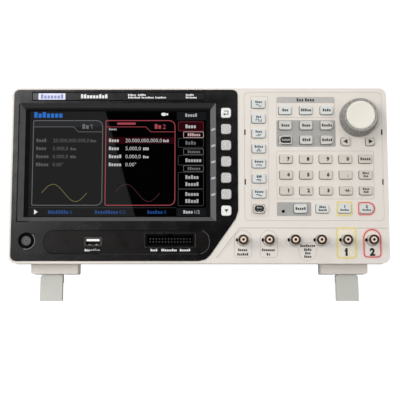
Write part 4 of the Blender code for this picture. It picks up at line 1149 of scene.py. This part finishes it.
class Screen(Sketch):
    """Picture on the display, measured in millimetres to the right of and down from its top left corner."""

    def __init__(self):
        super().__init__(SCREEN_FACE)

    def at(self, right, down):
        """The x and z of a point."""
        return SCREEN_LEFT + right / 1000, SCREEN_TOP - down / 1000

    def box(self, left, top, right, bottom, radius=0.0):
        return box(*self.at(left, bottom), *self.at(right, top), radius)

    def letters(self, right, down, height, letters, material, layer=2):
        self.word(*self.at(right, down), height / 1000, letters, material, layer, "LEFT")

    def number(self, text, right, down, height, material, layer=2):
        self.digits(text, *self.at(right, down), height / 1000, material, layer, "LEFT")


def draw_channel(screen, left, right, edge, text, wave, number, line):
    """One channel's card: outline with a stepped tab, four values and its wave."""
    card_edge = screen.box(left, 9.6, right, 97.5, (0.0014, 0.0060, 0.0060, 0.0014))
    screen.line(card_edge, line / 1000, edge, 2, True)
    step = right - 30.0
    corners = ((left, 16.2), (step, 16.2), (step + 5.0, 21.4), (right, 21.4))
    screen.line([screen.at(*corner) for corner in corners], 0.0005, edge, 2)
    screen.letters(right - 21.4, 15.7, 5.0, 2, edge)
    screen.number(number, right - 12.9, 15.7, 5.2, edge)
    value_left = left + 20.2
    # Letters of each row's name, its value, and where its unit stands. The last row has no unit.
    rows = ((4, "20.000,000,000,0", 38.5), (4, "5.000,0", 18.0), (5, "0.000,0", 18.0), (5, "0.00°", None))
    for row, (letters, value, unit) in enumerate(rows):
        down = 30.3 + 8.35 * row
        screen.letters(left + 3.0, down, 3.6, letters, text, 3)
        screen.number(value, value_left, down, 4.0, text, 3)
        if unit:
            screen.letters(value_left + unit, down + 0.5, 2.8, 3, text, 3)
    steps = 40
    start, length, middle, height = left + 9.8, 46.2, 84.8, 8.9
    shape = [
        screen.at(start + length * i / steps, middle - height * math.sin(math.tau * i / steps))
        for i in range(steps + 1)
    ]
    screen.line(shape, 0.00040, wave, 2)


def draw_menu(screen):
    """Column of menu boxes on the right of the display."""
    left, right, edge = 152.6, 178.4, 181.0
    screen.ink(screen.box(left - 1.6, 0.4, edge, 9.3), UI_FIELD)
    screen.letters(159.4, 3.9, 3.4, 5, UI_SOFT)
    # Top and bottom of each large box, letters in each of its rows, and their tone.
    large = (
        (10.8, 20.5, (4,), UI_BRIGHT),
        (28.2, 37.6, (4,), UI_GREY),
        (46.0, 56.0, (6,), UI_SOFT),
        (63.6, 80.6, (5, 5), UI_SOFT),
        (81.1, 98.0, (5, 5), UI_SOFT),
    )
    for number, (top, bottom, rows, tone) in enumerate(large):
        chosen = number == 0
        outline = screen.box(left, top, right, bottom, 0.0010)
        if chosen:
            screen.ink(outline, UI_DEEP_RED)
        screen.line(outline, 0.0005, UI_DARK_RED if chosen else UI_DIM, 2, True)
        for row, letters in enumerate(rows):
            down = (top + bottom) / 2 + (row - (len(rows) - 1) / 2) * 7.2
            screen.letters(159.6, down, 3.8, letters, tone, 3)
    for top, bottom, tone in ((21.4, 27.4, UI_PINK), (39.2, 45.0, UI_GREY), (56.6, 62.6, UI_GREY)):
        screen.line(screen.box(158.0, top, right, bottom, 0.0005), 0.0005, tone, 2, True)
        screen.letters(162.0, (top + bottom) / 2, 3.0, 6, tone, 3)
    screen.ink(screen.box(left - 1.6, 100.4, edge, 108.6), UI_FIELD)
    screen.letters(157.6, 104.3, 3.4, 4, UI_BRIGHT)
    screen.number("1/2", 168.4, 104.3, 3.6, UI_BRIGHT)


def draw_screen_mask():
    """Black border between the window and the lit area."""
    mask = Screen()
    left, bottom, right, top = WINDOW
    grow = 0.0003
    outer = box(left - grow, bottom - grow, right + grow, top + grow)
    inner = mask.box(0, 0, SCREEN_WIDTH * 1000, SCREEN_HEIGHT * 1000)
    mask.band(outer, inner, SCREEN_FACE - 0.0002, SCREEN_FACE, DEEP_BLACK)
    mask.piece("screen_mask", "case")


def draw_screen():
    """Picture on the display: two channel cards, a menu and a status line."""
    screen = Screen()
    screen.ink(screen.box(3.5, 9.8, 74.6, 16.2, (0.0014, 0.0060, 0, 0)), UI_FIELD)
    screen.ink(screen.box(79.2, 27.0, 148.4, 33.9), UI_DEEP_RED)
    draw_channel(screen, 3.4, 74.7, UI_GREY, UI_MUTED, UI_YELLOW, "1", 0.7)
    draw_channel(screen, 78.0, 149.2, UI_RED, UI_BRIGHT, UI_FAINT_RED, "2", 0.75)
    screen.ink(screen.box(89.5, 11.7, 108.6, 13.8, 0.0008), UI_RED, 3)
    screen.letters(81.0, 18.6, 2.2, 5, UI_SOFT, 3)
    draw_menu(screen)
    screen.letters(3.4, 3.6, 5.8, 7, UI_BLUE)
    screen.ink(screen.box(135.0, 1.4, 139.8, 4.6, 0.0015), UI_WHITE, 2)
    screen.ink(screen.box(140.0, 2.0, 142.0, 4.0), UI_WHITE, 2)
    screen.line([screen.at(0.4, 100.0), screen.at(150.4, 100.0)], 0.0003, UI_DIM)
    play = ((6.0, 101.8), (9.6, 104.4), (6.0, 107.0))
    screen.ink([screen.at(*corner) for corner in play], UI_WHITE, 2)
    for right, letters, value in ((19.8, 8, "0"), (67.6, 9, "0.0"), (121.0, 6, "0")):
        screen.letters(right, 104.5, 3.6, letters, UI_DEEP_BLUE)
        screen.number(value, right + letters * 2.7 + 0.8, 104.5, 3.8, UI_DEEP_BLUE)
    screen.piece("screen_picture", "case", "screen")


# Rear details


def draw_rear():
    """Screws, a blank rating plate and the contacts of the rear sockets."""
    back = local_box("rear_case")[1].y
    screws = Sketch()
    dome = ((0.0034, -0.0003), (0.0034, 0.0003), (0.0026, 0.0008), (0.0008, 0.0010))
    head = [(radius, back + rise) for radius, rise in dome]
    rows, columns = (0.030, 0.138), (-0.160, 0.0, 0.160)
    for x, z in ((x, z) for z in rows for x in columns):
        screws.turned(head, x, z, STEEL, 24)
        # Black crosses on the heads: painted shade of the slots.
        for outline in (sized(x, z, 0.0032, 0.0007), sized(x, z, 0.0007, 0.0032)):
            screws.prism(outline, back + 0.0004, back + 0.00102, DEEP_BLACK)
    screws.piece("rear_screws", "case", smooth=40)

    screen = Sketch()
    screen.prism(box(-0.0030, 0.0610, 0.0830, 0.1290, 0.0020), back - 0.0033, back - 0.0029, DEEP_BLACK)
    for side in (-1, 1):
        screen.prism(sized(side * 0.1874, 0.0950, 0.0006, 0.0780), 0.0345, 0.1335, DEEP_BLACK)
    screen.piece("dust_screen", "case")

    plate = Sketch()
    plate.prism(box(-0.149, 0.081, -0.071, 0.119, 0.0020), back - 0.0006, back + 0.0002, INK_WHITE)
    for height in (0.0900, 0.1000, 0.1100):
        plate.prism(box(-0.145, height - 0.0002, -0.075, height + 0.0002), back, back + 0.00026, INK_SILVER)
    plate.stroke(box(-0.147, 0.083, -0.073, 0.117, 0.0014), 0.0005, back, back + 0.00026, INK_SILVER, True)
    plate.piece("blank_plate", "case")

    contacts = Sketch()
    for x, z in ((-0.1320, 0.0485), (-0.1250, 0.0525), (-0.1180, 0.0485)):
        mains_pin = sized(x, z, 0.0020, 0.0040, 0.0004)
        contacts.prism(mains_pin, back - 0.0150, back - 0.0040, STEEL)
    for i in range(8):
        network_pin = sized(0.0565 + 0.0010 * i, 0.0386, 0.0005, 0.0009)
        contacts.prism(network_pin, back - 0.0100, back - 0.0030, GOLD)
    usb_tongue = sized(0.0950, 0.0346, 0.0056, 0.0030, 0.0003)
    contacts.prism(usb_tongue, back - 0.0100, back - 0.0012, PORT_WHITE)
    contacts.piece("rear_contacts", "case")


# Studio

CAMERA_X = 0.0007
CAMERA_Y = -1.036
CAMERA_Z = 0.1032
LENS = 81.9
SENSOR = 36.0
WORLD_LOW = 0.36
WORLD_HIGH = 0.50
LEFT_POWER = 10.5
RIGHT_POWER = 2.6
TOP_POWER = 3.4
FRONT_POWER = 11.0
CARD_REACH = 1.6


def make_camera():
    """Level camera in front of the instrument."""
    camera = bpy.data.cameras.new("camera")
    camera.lens = LENS
    camera.sensor_width = SENSOR
    camera.clip_start = 0.01
    holder = bpy.data.objects.new("camera", camera)
    holder.location = (CAMERA_X, CAMERA_Y, CAMERA_Z)
    holder.rotation_euler = (math.pi / 2, 0, 0)
    bpy.context.scene.collection.objects.link(holder)
    bpy.context.scene.camera = holder


def area_light(name, location, target, size, power, colour=(1.0, 1.0, 1.0)):
    light = bpy.data.lights.new(name, "AREA")
    light.shape = "SQUARE"
    light.size = size
    light.energy = power
    light.color = colour
    holder = bpy.data.objects.new(name, light)
    holder.location = location
    holder.rotation_euler = (Vector(target) - Vector(location)).to_track_quat("-Z", "Y").to_euler()
    bpy.context.scene.collection.objects.link(holder)
    return holder


def mirrored(x, z, reach):
    """Where the camera's ray to a point of the screen goes on to, at a distance in front of the panel."""
    eye = Vector((CAMERA_X, CAMERA_Y, CAMERA_Z))
    point = PLACE @ Vector((x, SCREEN_FACE, z))
    normal = (PLACE.to_3x3() @ Vector((0, -1, 0))).normalized()
    ray = (point - eye).normalized()
    ray -= 2 * ray.dot(normal) * normal
    return point + ray * (reach / -ray.y)


def stage_plane(name, corners, tone, glow):
    """Flat plane of the studio in a shade of grey, which gives off white light of a strength."""
    mesh = bpy.data.meshes.new(name)
    mesh.from_pydata([tuple(corner) for corner in corners], [], [tuple(range(len(corners)))])
    material = bpy.data.materials.new(name)
    material.use_nodes = True
    shader = material.node_tree.nodes["Principled BSDF"]
    shader.inputs["Base Color"].default_value = (tone, tone, tone, 1)
    shader.inputs["Roughness"].default_value = 0.9
    shader.inputs["Specular IOR Level"].default_value = 0.0
    shader.inputs["Emission Color"].default_value = (1, 1, 1, 1)
    shader.inputs["Emission Strength"].default_value = glow
    mesh.materials.append(material)
    plane = bpy.data.objects.new(name, mesh)
    bpy.context.scene.collection.objects.link(plane)
    plane.visible_diffuse = False
    return plane


def card(name, outline, glow):
    """Card that only reflections see, over a region of the screen's mirror image."""
    holder = stage_plane(name, [mirrored(x, z, CARD_REACH) for x, z in outline], 0.0, glow)
    holder.visible_camera = False
    holder.visible_shadow = False
    holder.visible_transmission = False


def make_world():
    """White behind the object. What lights it is paler from above than from below."""
    world = bpy.data.worlds.new("studio")
    bpy.context.scene.world = world
    world.use_nodes = True
    nodes, links = world.node_tree.nodes, world.node_tree.links
    backdrop = nodes.new("ShaderNodeBackground")
    backdrop.inputs["Color"].default_value = (1, 1, 1, 1)
    backdrop.inputs["Strength"].default_value = 1.05
    place = nodes.new("ShaderNodeTexCoord")
    split = nodes.new("ShaderNodeSeparateXYZ")
    rise = nodes.new("ShaderNodeMapRange")
    ends = {"From Min": -0.5, "From Max": 0.7, "To Min": WORLD_LOW, "To Max": WORLD_HIGH}
    for socket, value in ends.items():
        rise.inputs[socket].default_value = value
    links.new(place.outputs["Generated"], split.inputs["Vector"])
    links.new(split.outputs["Z"], rise.inputs["Value"])
    room = nodes["Background"]
    room.inputs["Color"].default_value = (0.97, 0.98, 1.0, 1.0)
    links.new(rise.outputs["Result"], room.inputs["Strength"])
    path = nodes.new("ShaderNodeLightPath")
    mix = nodes.new("ShaderNodeMixShader")
    links.new(path.outputs["Is Camera Ray"], mix.inputs["Fac"])
    links.new(room.outputs["Background"], mix.inputs[1])
    links.new(backdrop.outputs["Background"], mix.inputs[2])
    links.new(mix.outputs["Shader"], nodes["World Output"].inputs["Surface"])


def make_studio():
    """Soft boxes on both sides and above, and the cards that the display reflects."""
    make_world()
    middle = (0, -0.1, 0.12)
    area_light("left_box", (-1.15, -1.15, 0.75), middle, 0.90, LEFT_POWER, (1.0, 0.985, 0.96))
    area_light("right_box", (1.15, -1.15, 0.45), middle, 0.80, RIGHT_POWER)
    area_light("top_box", (-0.1, -0.35, 1.35), middle, 0.80, TOP_POWER)
    fill = area_light("front_box", (-0.45, -1.75, 0.14), (0, -0.1, 0.04), 0.60, FRONT_POWER)
    fill.visible_glossy = False

    far_left, left, right = -0.34, -0.176, 0.34
    bottom, top, high = -0.10, 0.176, 0.32
    low, up = (glare_edge(bottom), bottom), (glare_edge(top), top)
    card("glare_card", [(left, bottom), low, up, (left, top)], 0.40)
    card("side_card", box(far_left, 0.05, -0.180, high), 8.5)
    card("dark_card", [low, (right, bottom), (right, top), up], 0.0)
    card("upper_card", box(left, top, right, high), 1.3)
    bpy.context.scene.view_settings.view_transform = "Standard"


def glare_edge(z):
    """Where the glare on the display ends, at a height on the panel."""
    low_x, low_z, high_x, high_z = -0.0655, 0.0500, -0.0970, 0.1590
    return low_x + (high_x - low_x) * (z - low_z) / (high_z - low_z)


def make_floor():
    """Pale floor. Neither reflections nor diffuse light see it."""
    floor = stage_plane("floor", [(x, y, 0.0) for x, y in reversed(box(-6.0, -6.0, 6.0, 6.0))], 0.6, 0.86)
    floor.visible_glossy = False


make_camera()
finish_casings()
finish_keys()
draw_legends()
draw_panel_print()
draw_panel_seams()
draw_jack_print()
draw_output_board()
draw_knob()
draw_label_strip()
draw_bezel_print()
draw_power_mark()
draw_power_collar()
draw_window_bevel()
draw_front_board()
draw_screen_mask()
draw_screen()
draw_rear()
make_studio()
make_floor()
